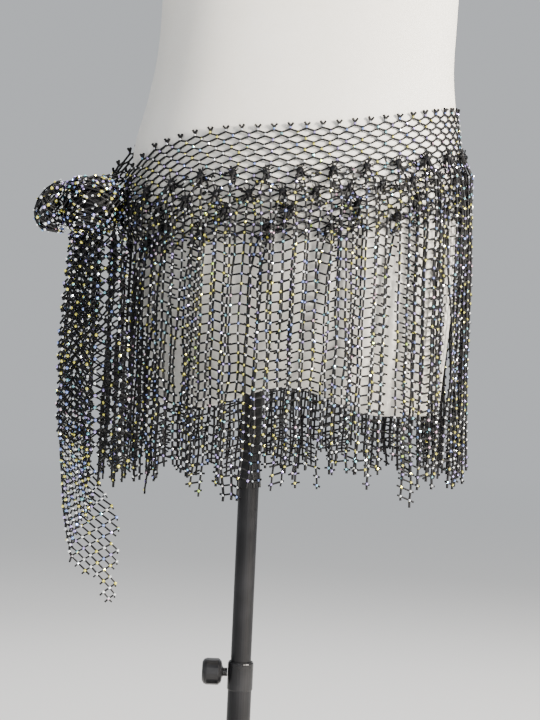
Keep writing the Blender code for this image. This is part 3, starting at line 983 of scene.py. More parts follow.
@dataclass
class NetPatch:
    """A patch of diamond net laid on a surface, with a stone at each knot.

    The surface takes a distance across and a distance down the flat net, in metres. The shift moves
    the whole net by so many cells, the slope lets its rows fall as they go across, and a tall knot is
    drawn as a short upright run. "Inside" says which knots the cut patch keeps, and "turned" which of
    them show their stones on the other side. The column step keeps the draws of its knots apart.
    """

    surface: Surface
    cells: int
    half_rows: int
    inside: Callable[[float, float], bool] = lambda across, down: True
    cell: float = NET_CELL
    half_row: float = NET_HALF_ROW
    knot_half: float = 0.0002
    least_tall: float = 0.0005
    thick: float = 1.2
    shift: float = 0.0
    slope: float = 0.0
    jitter: float = 0.0
    cut_end: float = 0.0035
    probe: float = 0.0015
    slack: float = 1e-6
    column_step: int = 31
    turned: Callable[[float, float], bool] = lambda across, down: False

    def facing(self, across: float, down: float) -> Point:
        """Outward normal of the surface, by steps on either side.

        Args:
            across: Distance across the flat net.
            down: Distance down it.

        Returns:
            The normal.
        """
        step = self.probe
        one = self.surface(across + step, down) - self.surface(across - step, down)
        two = self.surface(across, down + step) - self.surface(across, down - step)
        return unit(np.cross(two, one))

    def knot(self, column: float, row: int) -> tuple:
        """Place of a knot on the flat net, where odd rows stand half a cell over.

        Args:
            column: Its cell.
            row: Its half row.

        Returns:
            Its distances across and down.
        """
        across = (column + 0.5 * (row % 2) + self.shift) * self.cell
        if self.jitter:
            across += self.jitter * (scatter(column * self.column_step + row, Draw.KNOT_SHIFT) - 0.5)
        return across, row * self.half_row + across * self.slope + self.shift * self.half_row

    def holds(self, across: float, down: float) -> bool:
        """Whether the cut patch has this place."""
        within = -self.slack <= across <= self.cells * self.cell + self.slack
        return within and down >= -self.slack and self.inside(across, down)

    def places(self) -> dict:
        """Finds the knots that the cut patch keeps, without those that no thread reaches.

        Returns:
            (column, row) of each knot to its distances across and down.
        """
        spots = [(c, r) for r in range(-2, self.half_rows + 1) for c in range(-1, self.cells + 1)]
        flat = {spot: self.knot(*spot) for spot in spots}
        flat = {spot: place for spot, place in flat.items() if self.holds(*place)}
        near = ((0, 1), (0, -1), (-1, 1), (-1, -1))
        return {
            (column, row): place
            for (column, row), place in flat.items()
            if any((column + a + row % 2, row + b) in flat for a, b in near)
        }

    def lay(self, threads: Threads, stones: Stones, sign: float = 1.0) -> int:
        """Adds the patch's threads and stones.

        Args:
            threads: Where its threads go.
            stones: Where its stones go.
            sign: -1 where the surface's normal points inwards.

        Returns:
            The number of knots.
        """
        tall = self.knot_half
        places = self.places()
        normals = {}
        for spot, (across, down) in places.items():
            normal = self.facing(across, down) * sign
            normals[spot] = normal
            shown = -1.0 if self.turned(across, down) else 1.0
            stones.add(self.surface(across, down) + normal * STONE_PROUD * shown, normal * shown)
            if tall > self.least_tall:
                high, low = (self.surface(across, down + step * tall) for step in (-1, 1))
                threads.add(high, low, normal, self.thick)
        for (column, row), (across, down) in places.items():
            start = self.surface(across, down + tall)
            for step in (-1, 1):
                below = places.get((column + (step - 1) // 2 + row % 2, row + 1))
                if below:
                    end = self.surface(below[0], below[1] - tall)
                elif self.cut_end:
                    reach = 0.5 * self.cell * self.cut_end / self.half_row
                    end = self.surface(across + step * reach, down + tall + self.cut_end)
                else:
                    continue
                threads.add(start, end, normals[(column, row)])
        return len(places)


# ---------------------------------------------------------------- the belt


@dataclass(frozen=True)
class BeadTrim:
    """What stands round a bead: knotted thread ends, and crumpled scraps of net in curls of thread.

    A pair of numbers is a least value and how much chance may add.
    """

    ends: int = 7
    end_size: float = 0.0011
    end_foot: float = 0.0028
    end_reach: tuple = (0.0062, 0.0034)
    end_proud: float = 0.0008
    fan: float = 1.3
    fan_start: float = -0.15
    behind: float = 0.0018
    curls: int = 3
    curl_runs: int = 4
    curl_angle: tuple = (0.15, 0.7)
    curl_step: tuple = (0.0042, 0.0018)
    curl_bend: float = 0.55
    curl_spread: float = 0.004
    curl_ripple: float = 0.0012
    curl_thick: float = 1.25
    stone_at: int = 2
    nub: float = 0.003

    def add(self, place: Point, out: Point, index: int, tufts: Threads, gems: Stones) -> None:
        """Adds the thread ends and the scraps round one bead.

        Args:
            place: The bead's middle.
            out: Its direction away from the form.
            index: Its number.
            tufts: Where the threads go.
            gems: Where the scraps' stones go.
        """
        side = unit(np.cross(UP, out))
        for k in range(self.ends):
            turn = math.pi * (self.fan * (k + scatter(index, k)) / self.ends + self.fan_start)
            away = side * math.cos(turn) + UP * math.sin(turn)
            reach = drawn(self.end_reach, index, Draw.END_LENGTH + k)
            tufts.add(place + away * self.end_foot, place + away * reach + out * self.end_proud, out)
        for k in range(self.curls):
            self.curl(place - out * self.behind, out, index, k, tufts, gems)

    def curl(self, place: Point, out: Point, index: int, k: int, tufts: Threads, gems: Stones) -> None:
        """Adds one curl of thread with a nub at each knot and a stone on one of them.

        Args:
            place: The middle of the scraps.
            out: Their direction away from the form.
            index: The bead's number.
            k: The curl's number.
            tufts: Where the thread goes.
            gems: Where the stone goes.
        """
        side = unit(np.cross(UP, out))
        angle = -math.pi * drawn(self.curl_angle, index, Draw.CURL_ANGLE + k)
        step = drawn(self.curl_step, index, Draw.CURL_STEP + k)
        bend = self.curl_bend * (1 if scatter(index, Draw.CURL_BEND + k) > 0.5 else -1)
        spot = place + side * self.curl_spread * (scatter(index, Draw.CURL_PLACE + k) - 0.5)
        for n in range(self.curl_runs):
            away = side * math.cos(angle) + UP * math.sin(angle)
            ripple = self.curl_ripple * (scatter(index + n, Draw.CURL_RIPPLE + k) - 0.5)
            ahead = spot + away * step + out * ripple
            tufts.add(spot, ahead, out, self.curl_thick)
            if n:
                nub = (side * math.sin(angle) - UP * math.cos(angle)) * self.nub * (1 if n % 2 else -1)
                tufts.add(ahead, ahead + nub, out, self.curl_thick)
            if n == self.stone_at:
                gems.add(ahead + out * STONE_PROUD, out)
            spot = ahead
            angle += bend


@dataclass
class FringeRow:
    """One row of ladder strips, cut from the net along its threads, under a row of beads.

    A strip's own weight stretches its upper rungs apart, so that they stand closer towards the hem.
    It spreads from its bead, and on the way down it sways, bends and twists. Of a strip's three
    lines, the middle one stands out in a fold. A pair of numbers is a least value and how much
    chance may add, and the steps keep the draws of its strips, lines and rungs apart.
    """

    band: BandSurface
    number: int
    row: BeadRow
    pitch: float = 0.0096
    stretch: float = 0.07
    least_rungs: int = 6
    strand_width: float = 0.0112
    tie_clear: float = 0.020
    hem_rise: float = -0.072
    hem_wave: float = 0.030
    hem_lift: float = 0.06
    root: float = 0.003
    swing: float = 0.022
    settle_run: float = 0.06
    shrink: float = 0.02
    twist: float = math.radians(22)
    twist_share: tuple = (0.3, 0.7)
    turn: tuple = (4.0, 30.0)
    turn_wave: tuple = (0.10, 0.16)
    wave_round: float = 6.28
    sway: float = 0.0022
    bend: float = 0.0007
    bend_rate: float = 90.0
    probe: float = 0.002
    two_lines: float = 0.12
    three_lines: float = 0.80
    slant: tuple = (0.16, 0.26)
    flip: float = 0.62
    fold: float = 0.0030
    spread: tuple = (0.18, 0.82)
    spread_run: float = 0.016
    wobble: float = 0.0006
    short_by: float = 3.2
    tail: tuple = (0.0035, 0.004)
    tail_lean: float = 0.002
    cut: tuple = (0.0024, 0.0024)
    lone_cut: tuple = (0.0036, 0.0024)
    cut_slant: float = 0.4
    cut_droop: tuple = (-0.00084, 0.0014)
    thread_size: float = 0.0018
    stone_size: float = 0.0030
    index_step: int = 7
    line_step: int = 3
    rung_step: int = 5

    def strips(self) -> Iterable[tuple]:
        """Finds the row's strips, as the solids have them.

        Yields:
            Distance along the band and number of each.
        """
        half = self.band.cell / 2
        stops = 1
        last = 0.0
        for column in range(self.row.first, self.band.cells_round * 2, self.row.every):
            middle = (column + 0.5) * half
            if min(middle, self.band.length - middle) < self.tie_clear:
                continue
            gap = middle - self.strand_width / 2 - last
            stops += max(1, round(gap / self.strand_width))
            yield middle, (stops - 1) * self.index_step + self.number
            stops += 1
            last = middle + self.strand_width / 2

    def hem(self, along: float, index: int) -> float:
        """Rise at which a strip ends."""
        x = self.band.form.skin(self.band.hip_rise, self.band.turn_at(along))[0]
        return self.hem_rise + self.hem_lift * x + self.hem_wave * (scatter(index, Draw.STRIP_HEM) - 0.5)

    def mate(self, along: float) -> float:
        """Finds the strip of the first row that this one lies behind, whose lift clears the band for both.

        Args:
            along: Distance along the band.

        Returns:
            The other strip's distance along the band.
        """
        first = BEAD_ROWS[0].first * self.band.cell / 2
        group = self.band.cell * 2
        found = first + (along - first) // group * group
        return found if along <= self.band.length / 2 else min(found + group, self.band.length)

    def levels(self, along: float, index: int) -> list:
        """Lays out the rungs of a strip, from its bead down to its hem.

        Args:
            along: Distance along the band.
            index: The strip's number.

        Returns:
            (middle, across, away) of each rung.
        """
        band, row = self.band, self.row
        start = band.rise(along, row.drop)
        count = max(self.least_rungs, round((start - self.hem(along, index)) / self.pitch))
        near_form = band.outside + self.root + band.lift(along)
        hung = row.layer + band.lift(self.mate(along))
        lean = self.twist * drawn(self.twist_share, index, Draw.STRIP_TWIST)
        turn = math.radians(self.turn[0] + self.turn[1] * scatter(index, Draw.STRIP_TURN) ** 3)
        wave = drawn(self.turn_wave, index, Draw.STRIP_WAVE)
        phase = self.wave_round * scatter(index, Draw.STRIP_PHASE)
        sway = self.sway * (2 * scatter(index, Draw.STRIP_SWAY) - 1)
        bend = self.bend * (1 + scatter(index, Draw.STRIP_BEND))
        shrink = 1 - self.shrink * scatter(index, Draw.STRIP_SHRINK)
        found = []
        for k in range(count + 1):
            share = k / count
            fall = count * self.pitch * share * (1 + self.stretch * (1 - share))
            swung, settled = soft_step(fall / self.swing), soft_step(fall / self.settle_run)
            out = near_form + (hung + row.flare * share - near_form) * swung
            place = along + sway * share + bend * math.sin(phase + self.bend_rate * fall) * share
            place += row.drift * settled
            rise = start - fall * shrink
            hip = band.point(along, row.drop, out)
            middle = band.hang(place, rise, out)
            middle[:2] += (hip - band.hang(along, rise, out))[:2] * (1 - swung)
            before, after = (band.hang(place + step, rise, out) for step in (-self.probe, self.probe))
            across = unit(after - before)
            away = np.array((across[1], -across[0], 0.0))
            angle = lean * share + turn * math.sin(phase + self.wave_round * fall / wave) * settled
            cosine, sine = math.cos(angle), math.sin(angle)
            found.append((middle, across * cosine + away * sine, away * cosine - across * sine))
        return found

    def knots(self, levels: list, lasts: list, index: int, slant: float) -> dict:
        """Places the knots of a strip.

        Args:
            levels: Its rungs.
            lasts: The last rung that each of its lines reaches.
            index: The strip's number.
            slant: How much lower its right line stands than its left.

        Returns:
            (rung, line) of each knot to its place.
        """
        lines = len(lasts)
        fold = self.fold * (2 * scatter(index, Draw.STRIP_FOLD) - 1)
        spots = {}
        for k, (middle, across, away) in enumerate(levels):
            spread = self.spread[0] + self.spread[1] * soft_step(k * self.pitch / self.spread_run)
            for j in range(lines):
                if k > lasts[j]:
                    continue
                side = j - (lines - 1) / 2
                wobble = self.wobble * (scatter(index * self.line_step + j, k) - 0.5)
                fallen = (side if lines == 2 else abs(side) - 0.5) * slant * spread
                ahead = fold * (1 - abs(side)) * spread if lines == 3 else 0.0
                place = middle + across * (side * self.pitch * spread + wobble) + away * ahead
                spots[(k, j)] = place + UP * (wobble - fallen)
        return spots

    def lay(self, along: float, index: int, threads: Threads, stones: Stones) -> None:
        """Adds one ladder strip.

        Args:
            along: Distance along the band.
            index: The strip's number.
            threads: Where its threads go.
            stones: Where its stones go.
        """
        levels = self.levels(along, index)
        chance = scatter(index, Draw.STRIP_LINES)
        lines = 1 + int(chance > self.two_lines) + int(chance > self.three_lines)
        slant = drawn(self.slant, index, Draw.STRIP_SLANT) * self.pitch
        if scatter(index, Draw.STRIP_FLIP) > self.flip:
            slant = -slant
        short = [int(self.short_by * scatter(index, Draw.LAST_RUNG + j) ** 2) for j in range(lines)]
        lasts = [len(levels) - 1 - rungs for rungs in short]
        spots = self.knots(levels, lasts, index, slant)
        tail_lean = self.tail_lean * (scatter(index, Draw.TAIL_LEAN) - 0.5)
        cut = self.cut if lines > 1 else self.lone_cut
        for (k, j), spot in spots.items():
            _, across, away = levels[k]
            if k:
                stones.add(spot + away * STONE_PROUD, away)
                threads.add(spots[(k - 1, j)], spot, away)
            if k == lasts[j]:
                tail = UP * -drawn(self.tail, index + j, Draw.TAIL_LENGTH)
                threads.add(spot, spot + tail + across * tail_lean, away)
            if k and (k, j + 1) in spots:
                threads.add(spot, spots[(k, j + 1)], away)
            for step in (-1, 1):
                if k < 2 or (k, j + step) in spots:
                    continue
                reach = drawn(cut, index * self.rung_step + k, j + step)
                droop = drawn(self.cut_droop, index + k, Draw.CUT_DROOP + step)
                end = spot + across * step * reach + UP * (droop - step * slant * self.cut_slant)
                threads.add(spot, end, away)

    def build(self) -> list:
        """Builds the row.

        Returns:
            The pieces of its threads and its stones.
        """
        threads, stones = Threads(size=self.thread_size), Stones(size=self.stone_size)
        for along, index in self.strips():
            self.lay(along, index, threads, stones)
        net = threads.build(f"fringe_{self.number}_net")
        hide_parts(f"fringe_row_{self.number}")
        return [net, stones.build(f"fringe_{self.number}_stones")]


@dataclass
class Tie:
    """The knot and the bow loop beside it.

    Each layer of the knot has its scale and tilt, and each layer of the loop its scale, its cells
    and its half rows. A layer's outward side is found at a share of its width and of its height.
    """

    middle: tuple = (-0.1715, -0.050, RIM_HEIGHT + 0.199)
    half: tuple = (0.0275, 0.025, 0.028)
    square: tuple = (0.70, 1.0, 0.75)
    folds: int = 5
    fold_depth: float = 0.08
    fold_twist: float = 3.2
    wrap_depth: float = 0.10
    wrap_slant: float = 0.55
    wrap_start: float = 0.9
    wrap_width: float = 0.20
    core_scale: float = 0.78
    core_rings: int = 24
    core_sides: int = 40
    knot_layers: tuple = ((0.86, 0.25), (0.92, -0.2), (0.98, 0.1), (1.04, -0.1))
    knot_cells: int = 9
    knot_rows: int = 15
    knot_cover: float = 0.44
    knot_wind: float = 4.0
    knot_shift: float = 0.27
    jitter: float = 0.003
    seen_at: tuple = (0.25, 0.45)
    away_weights: tuple = (0.1, 1.0, 1.0)
    loop_layers: tuple = ((1.0, 5, 8), (0.88, 4, 7), (0.74, 3, 6), (0.60, 3, 5))
    loop_shift: float = 0.3
    loop_neck: float = -0.1985
    loop_reach: float = 0.0305
    loop_half_depth: float = 0.0185
    loop_neck_gap: float = 0.0026
    loop_top: float = 0.0225
    loop_bottom: float = -0.0285
    loop_drop: float = 0.0085
    loop_least: float = 0.15
    loop_edge_depth: float = 0.72
    loop_round_high: float = 1.5
    loop_round_low: float = 0.45

    def lump(self, lon: float, lat: float, scale: float) -> Point:
        """Point of the knot's surface, with its folds and the end that is wound over it.

        Args:
            lon: Longitude.
            lat: Latitude.
            scale: Times the knot's size.

        Returns:
            The point.
        """
        z = math.sin(lat)
        x, y = math.cos(lat) * math.cos(lon), math.cos(lat) * math.sin(lon)
        creases = math.cos(lon * self.folds + self.fold_twist * z) * (1 - z * z)
        wrap = (z - self.wrap_slant * math.sin(lon + self.wrap_start)) / self.wrap_width
        swell = scale * (1 + self.fold_depth * creases) + self.wrap_depth * math.exp(-(wrap**2))
        filled = [math.copysign(abs(c) ** p, c) for c, p in zip((x, y, z), self.square)]
        return np.array([m + h * swell * c for m, h, c in zip(self.middle, self.half, filled)])

    def wound(self, scale: float, tilt: float, across: float, down: float) -> Point:
        """Net of one layer, wound round the knot.

        Args:
            scale: The layer's scale.
            tilt: How far it is wound askew.
            across: Distance across the flat net.
            down: Distance down it.

        Returns:
            The point.
        """
        lat = math.pi * self.knot_cover * (1 - 2 * down / (self.knot_rows * NET_HALF_ROW))
        lon = 2 * math.pi * across / (self.knot_cells * NET_CELL) + tilt * lat * self.knot_wind
        return self.lump(lon, lat, scale)

    def looped(self, layer: tuple, across: float, down: float) -> Point:
        """Net of one layer of the loop, which goes out from the knot and back.

        Args:
            layer: The layer's scale, cells and half rows.
            across: Distance across the flat net.
            down: Distance down it.

        Returns:
            The point.
        """
        scale, cells, rows = layer
        u = across / (cells * NET_CELL)
        v = 1 - 2 * down / (rows * NET_HALF_ROW)
        swell = math.sin(math.pi * min(max(u, 0.0), 1.0))
        edge = max(math.cos(v * math.pi / 2), 0.0)
        end = edge ** (self.loop_round_high if v > 0 else self.loop_round_low)
        reach = self.loop_reach * swell * (self.loop_least + (1 - self.loop_least) * end)
        gap = self.loop_neck_gap * math.cos(math.pi * u)
        plan = self.loop_half_depth * math.sin(2 * math.pi * u) * scale + gap
        centre = -self.loop_drop * swell
        half = self.loop_top - centre if v > 0 else centre - self.loop_bottom
        x = self.loop_neck - reach * scale
        y = self.middle[1] - plan * (self.loop_edge_depth + (1 - self.loop_edge_depth) * edge)
        z = self.middle[2] + centre + half * math.sin(v * math.pi / 2) * scale
        return np.array((x, y, z))

    def lay(self, name: str, surfaces: Iterable, sizes: Iterable, shift: float) -> tuple:
        """Makes one net of several layers, each with its stones on the side away from the middle.

        Args:
            name: Start of the pieces' names.
            surfaces: Each layer's surface.
            sizes: Each layer's cells and half rows.
            shift: How far each layer is shifted against the one before.

        Returns:
            The net, its stones, and its flat width and length as a strip as wide as the band.
        """
        threads, stones = Threads(), Stones()
        knots = 0
        for number, (surface, (cells, rows)) in enumerate(zip(surfaces, sizes)):
            patch = NetPatch(surface, cells, rows, cut_end=0.0, shift=shift * number, jitter=self.jitter)
            across, down = self.seen_at[0] * cells * NET_CELL, self.seen_at[1] * rows * NET_HALF_ROW
            away = (surface(across, down) - np.array(self.middle)) * self.away_weights
            sign = math.copysign(1.0, float(patch.facing(across, down) @ away))
            knots += patch.lay(threads, stones, sign=sign)
        flat = (STRIP_WIDTH, knots * NET_CELL * NET_HALF_ROW / STRIP_WIDTH)
        return threads.build(f"{name}_net"), stones.build(f"{name}_stones"), flat

    def build_knot(self) -> None:
        """Builds the knot: a dark wound core under layers of drawn-up net."""
        rings, sides = self.core_rings, self.core_sides
        lats = [math.pi * (j / rings - 0.5) for j in range(1, rings)]
        lons = [2 * math.pi * i / sides for i in range(sides)]
        points = [self.lump(lon, lat, self.core_scale) for lat in lats for lon in lons]
        faces = ring_faces(len(lats), sides)
        faces.append(tuple(range(sides))[::-1])
        faces.append(tuple(range(len(points) - sides, len(points))))
        core = add_object("knot_core", points, faces, THREAD)
        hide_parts("tie_knot")
        surfaces = [partial(self.wound, *layer) for layer in self.knot_layers]
        sizes = [(self.knot_cells, self.knot_rows)] * len(surfaces)
        net, gems, flat = self.lay("knot", surfaces, sizes, self.knot_shift)

    def build_loop(self) -> None:
        """Builds the bow loop: net turned back on itself, with the bunched net that fills it."""
        surfaces = [partial(self.looped, layer) for layer in self.loop_layers]
        sizes = [layer[1:] for layer in self.loop_layers]
        net, gems, flat = self.lay("loop", surfaces, sizes, self.loop_shift)
        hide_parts("bow_loop")

    def build(self) -> None:
        """Builds the knot and its loop."""
        self.build_knot()
        self.build_loop()


@dataclass
class HipBand:
    """The band of net round the hips, its stones, its beads and its cut top edge."""

    band: BandSurface
    tie: Tie
    trim: BeadTrim = BeadTrim()
    half_rows: int = 18
    knot_half: float = 0.0014
    picot: float = 0.0046
    picot_foot: float = 0.0012
    picot_lean: tuple = (0.55, 0.5)
    picot_proud: float = 0.0012
    picot_probe: float = 0.001
    bead_proud: float = 0.0022
    bead_root: float = 0.0012
    stone_size: float = 0.0028
    neck_cells: int = 3
    neck_jitter: float = 0.002
    neck_goal: tuple = (-0.012, 0.030, 0.052)
    neck_folds: int = 3
    neck_fold: float = 0.003
    neck_clear: float = 1.07

    def surface(self, across: float, down: float) -> Point:
        """The net's middle line at a place on the band."""
        return self.band.point(across, down, self.band.inside + self.band.wall / 2)

    def neck(self, end: float, side: float, across: float, down: float) -> Point:
        """Net drawn from an end of the band over the knot.

        Args:
            end: Distance along the band at which it starts.
            side: -1 where it runs over the knot's front, 1 over its back.
            across: Distance from the band's end.
            down: Distance down from the band's top edge.

        Returns:
            The point.
        """
        middle, half = np.array(self.tie.middle), np.array(self.tie.half)
        share = across / (self.neck_cells * self.band.cell)
        start = self.surface(end, down)
        ahead, aside, tall = self.neck_goal
        goal = middle + np.array((ahead, side * aside, (0.5 - down / self.band.depth) * tall))
        point = start + (goal - start) * share
        point[1] += side * self.neck_fold * math.sin(2 * math.pi * self.neck_folds * down / self.band.depth)
        from_middle = (point - middle) / half
        reach = float(np.linalg.norm(from_middle))
        if reach < self.neck_clear:
            point = middle + half * from_middle / reach * self.neck_clear
        return point

    def build(self, fringe: Sequence) -> None:
        """Builds the band.

        Args:
            fringe: The pieces of the fringe, which is cut in one with it. Not used.
        """
        band = self.band
        threads, stones = Threads(), Stones(size=self.stone_size)
        patch = NetPatch(self.surface, band.cells_round, self.half_rows, knot_half=self.knot_half)
        count = patch.lay(threads, stones)
        for end, side in ((0.0, -1.0), (band.length, 1.0)):
            neck = NetPatch(
                partial(self.neck, end, side),
                self.neck_cells,
                self.half_rows,
                cut_end=0.0,
                jitter=self.neck_jitter,
            )
            middle = neck.facing(self.neck_cells * band.cell / 2, band.depth / 2)
            count += neck.lay(threads, stones, sign=math.copysign(1.0, middle[1] * side))
        self.add_picots(patch, threads)
        net = threads.build("band_net")
        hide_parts("belt_band")
        beads, tufts = self.add_beads(stones)
        gems = stones.build("band_stones")
        LOG.info("band: %d knots", count)

    def add_picots(self, patch: NetPatch, threads: Threads) -> None:
        """Adds the two short cut ends that stand up from each knot of the top edge.

        Args:
            patch: The band's net.
            threads: Where they go.
        """
        for column in range(self.band.cells_round + 1):
            across, down = patch.knot(column, 0)
            point, normal = self.surface(across, down), patch.facing(across, down)
            side = unit(self.surface(across + self.picot_probe, down) - point)
            for step in (-1, 1):
                lean = step * drawn(self.picot_lean, column, step)
                foot = point + UP * self.picot_foot
                tip = foot + unit(side * lean + UP) * self.picot
                tip += normal * self.picot_proud * scatter(column, Draw.PICOT_TIP + step)
                threads.add(foot, tip, normal, patch.thick)

    def add_beads(self, gems: Stones) -> tuple:
        """Adds the black beads and what stands round them.

        Args:
            gems: Where the stones of the scraps of net go.

        Returns:
            The piece of the beads and the piece of their threads.
        """
        band = self.band
        beads, tufts = Beads(), Threads(size=self.trim.end_size)
        for row in BEAD_ROWS:
            for column in range(row.first, band.cells_round * 2, row.every):
                along = (column + 0.5) * band.cell / 2
                place = band.point(along, row.drop, band.outside + self.bead_proud)
                root = band.point(along, row.drop, band.outside - self.bead_root)
                out = unit(place - root)
                self.trim.add(place, out, len(beads.places), tufts, gems)
                beads.add(place, out)
        return beads.build("cut_beads"), tufts.build("bead_thread_ends")


@dataclass(frozen=True)
class TailEdge:
    """Left and right edge of the upper tail at a rise."""

    rise: float
    left_x: float
    left_y: float
    right_x: float
    right_y: float


@dataclass(frozen=True)
class FoldedEdge:
    """Fold and edges of the lower tail's two layers at a rise."""

    rise: float
    fold_x: float
    front_x: float
    back_x: float
    front_y: float
    back_y: float


UPPER_TAIL = (
    TailEdge(-0.080, -0.1945, -0.049, -0.1185, -0.100),
    TailEdge(-0.010, -0.1985, -0.046, -0.1210, -0.098),
    TailEdge(0.070, -0.1995, -0.043, -0.1255, -0.092),
    TailEdge(0.130, -0.1955, -0.044, -0.1300, -0.084),
    TailEdge(0.167, -0.1930, -0.046, -0.1345, -0.076),
    TailEdge(0.180, -0.1900, -0.050, -0.1400, -0.076),
)
LOWER_TAIL = (
    FoldedEdge(-0.215, -0.1740, -0.150, -0.1335, -0.042, -0.028),
    FoldedEdge(-0.165, -0.1805, -0.152, -0.132, -0.042, -0.028),
    FoldedEdge(-0.120, -0.1895, -0.155, -0.134, -0.042, -0.028),
    FoldedEdge(-0.080, -0.1935, -0.161, -0.156, -0.040, -0.026),
    FoldedEdge(0.000, -0.2003, -0.163, -0.164, -0.032, -0.020),
    FoldedEdge(0.100, -0.1970, -0.162, -0.162, -0.030, -0.020),
    FoldedEdge(0.167, -0.1890, -0.160, -0.158, -0.036, -0.028),
)


@dataclass(frozen=True)
class TailLayer:
    """A layer of a tail: its number, how far back it lies, how far down it goes, its rows' slope."""

    number: int
    back: float
    reach: float
    slope: float


@dataclass
class Tail:
    """A belt end that hangs from the knot in layers of net."""

    name: str
    node: str
    edges: dict
    layers: tuple
    cells: int
    rows: int
    length: float
    shift: float
    jitter: float
    half_row: float = NET_HALF_ROW
    top: float = 0.180
    seen_at: tuple = (0.02, 0.05)

    def place(self, layer: TailLayer, across: float, down: float) -> Point:
        """Point of a layer's net."""
        raise NotImplementedError

    def keeps(self, layer: TailLayer, across: float, down: float) -> bool:
        """Whether the cut layer has this place."""
        raise NotImplementedError

    def turns(self, layer: TailLayer, across: float, down: float) -> bool:
        """Whether the net shows its stones on its back here."""
        raise NotImplementedError

    def edges_at(self, down: float) -> dict:
        """Every edge of the tail at a distance down from its top."""
        return {name: curve(self.top - down) for name, curve in self.edges.items()}

    def build(self) -> None:
        """Builds the tail."""
        threads, stones = Threads(), Stones()
        knots = 0
        for layer in self.layers:
            patch = NetPatch(
                partial(self.place, layer),
                self.cells,
                self.rows,
                inside=partial(self.keeps, layer),
                half_row=self.half_row,
                shift=self.shift * layer.number,
                slope=layer.slope,
                jitter=self.jitter,
                turned=partial(self.turns, layer),
            )
            forward = -patch.facing(*self.seen_at)[1]
            knots += patch.lay(threads, stones, sign=math.copysign(1.0, forward))
        net = threads.build(f"{self.name}_net")
        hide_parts(self.node)
        gems = stones.build(f"{self.name}_stones")


@dataclass
class UpperTail(Tail):
    """The wide tail in front, its net bunched towards its left edge and doubled near the knot.

    Its second layer sways on its own, so that the two don't lie mesh on mesh.
    """

    name: str = "upper_tail"
    node: str = "tail_upper"
    edges: dict = field(default_factory=lambda: curves_of(UPPER_TAIL))
    layers: tuple = (
        TailLayer(0, 0.0, 1.0, 0.04),
        TailLayer(1, 0.0032, 1.0, -0.12),
        TailLayer(2, 0.0058, 0.060, 0.15),
    )
    cells: int = 5
    rows: int = 45
    length: float = 0.25
    shift: float = 0.33
    jitter: float = 0.0012
    half_row: float = 0.0061
    hem: SoftCurve = SoftCurve((0.0, 0.5, 1.0), (-0.038, -0.050, -0.078))
    bunch: float = 1.20
    reach_slant: float = 0.10
    folds: float = 2.5
    fold_start: float = 0.6
    fold_shift: float = 0.5
    fold_depth: float = 0.0052
    least_fold: float = 0.35
    fold_run: float = 0.24
    sway: float = 0.0045
    sway_length: float = 0.13
    sway_lead: float = 1.3

    def share(self, across: float) -> float:
        """Share of the cloth's width at a distance across its bunched net."""
        return max(across / (self.cells * NET_CELL), 0.0) ** self.bunch

    def place(self, layer: TailLayer, across: float, down: float) -> Point:
        """Point of a layer's net.

        Args:
            layer: The layer.
            across: Distance across the flat net.
            down: Distance down it.

        Returns:
            The point.
        """
        u = self.share(across)
        at = self.edges_at(down)
        grow = self.least_fold + (1 - self.least_fold) * min(down / self.fold_run, 1.0)
        phase = 2 * math.pi * self.folds * u + self.fold_start + self.fold_shift * layer.number
        x = at["left_x"] + (at["right_x"] - at["left_x"]) * u
        y = at["left_y"] + (at["right_y"] - at["left_y"]) * u - self.fold_depth * math.sin(phase) * grow
        if layer.number:
            wave = math.sin(2 * math.pi * (down / self.sway_length + self.sway_lead * u))
            x += self.sway * wave * 4 * u * (1 - u)
        return np.array((x, y + layer.back, RIM_HEIGHT + self.top - down))

    def keeps(self, layer: TailLayer, across: float, down: float) -> bool:
        """Whether the cut layer has this place."""
        u = self.share(across)
        return self.top - down > self.hem(u) and down + self.reach_slant * u < layer.reach

    def turns(self, layer: TailLayer, across: float, down: float) -> bool:
        """Whether the net shows its stones on its back here: the second layer does."""
        return layer.number == 1


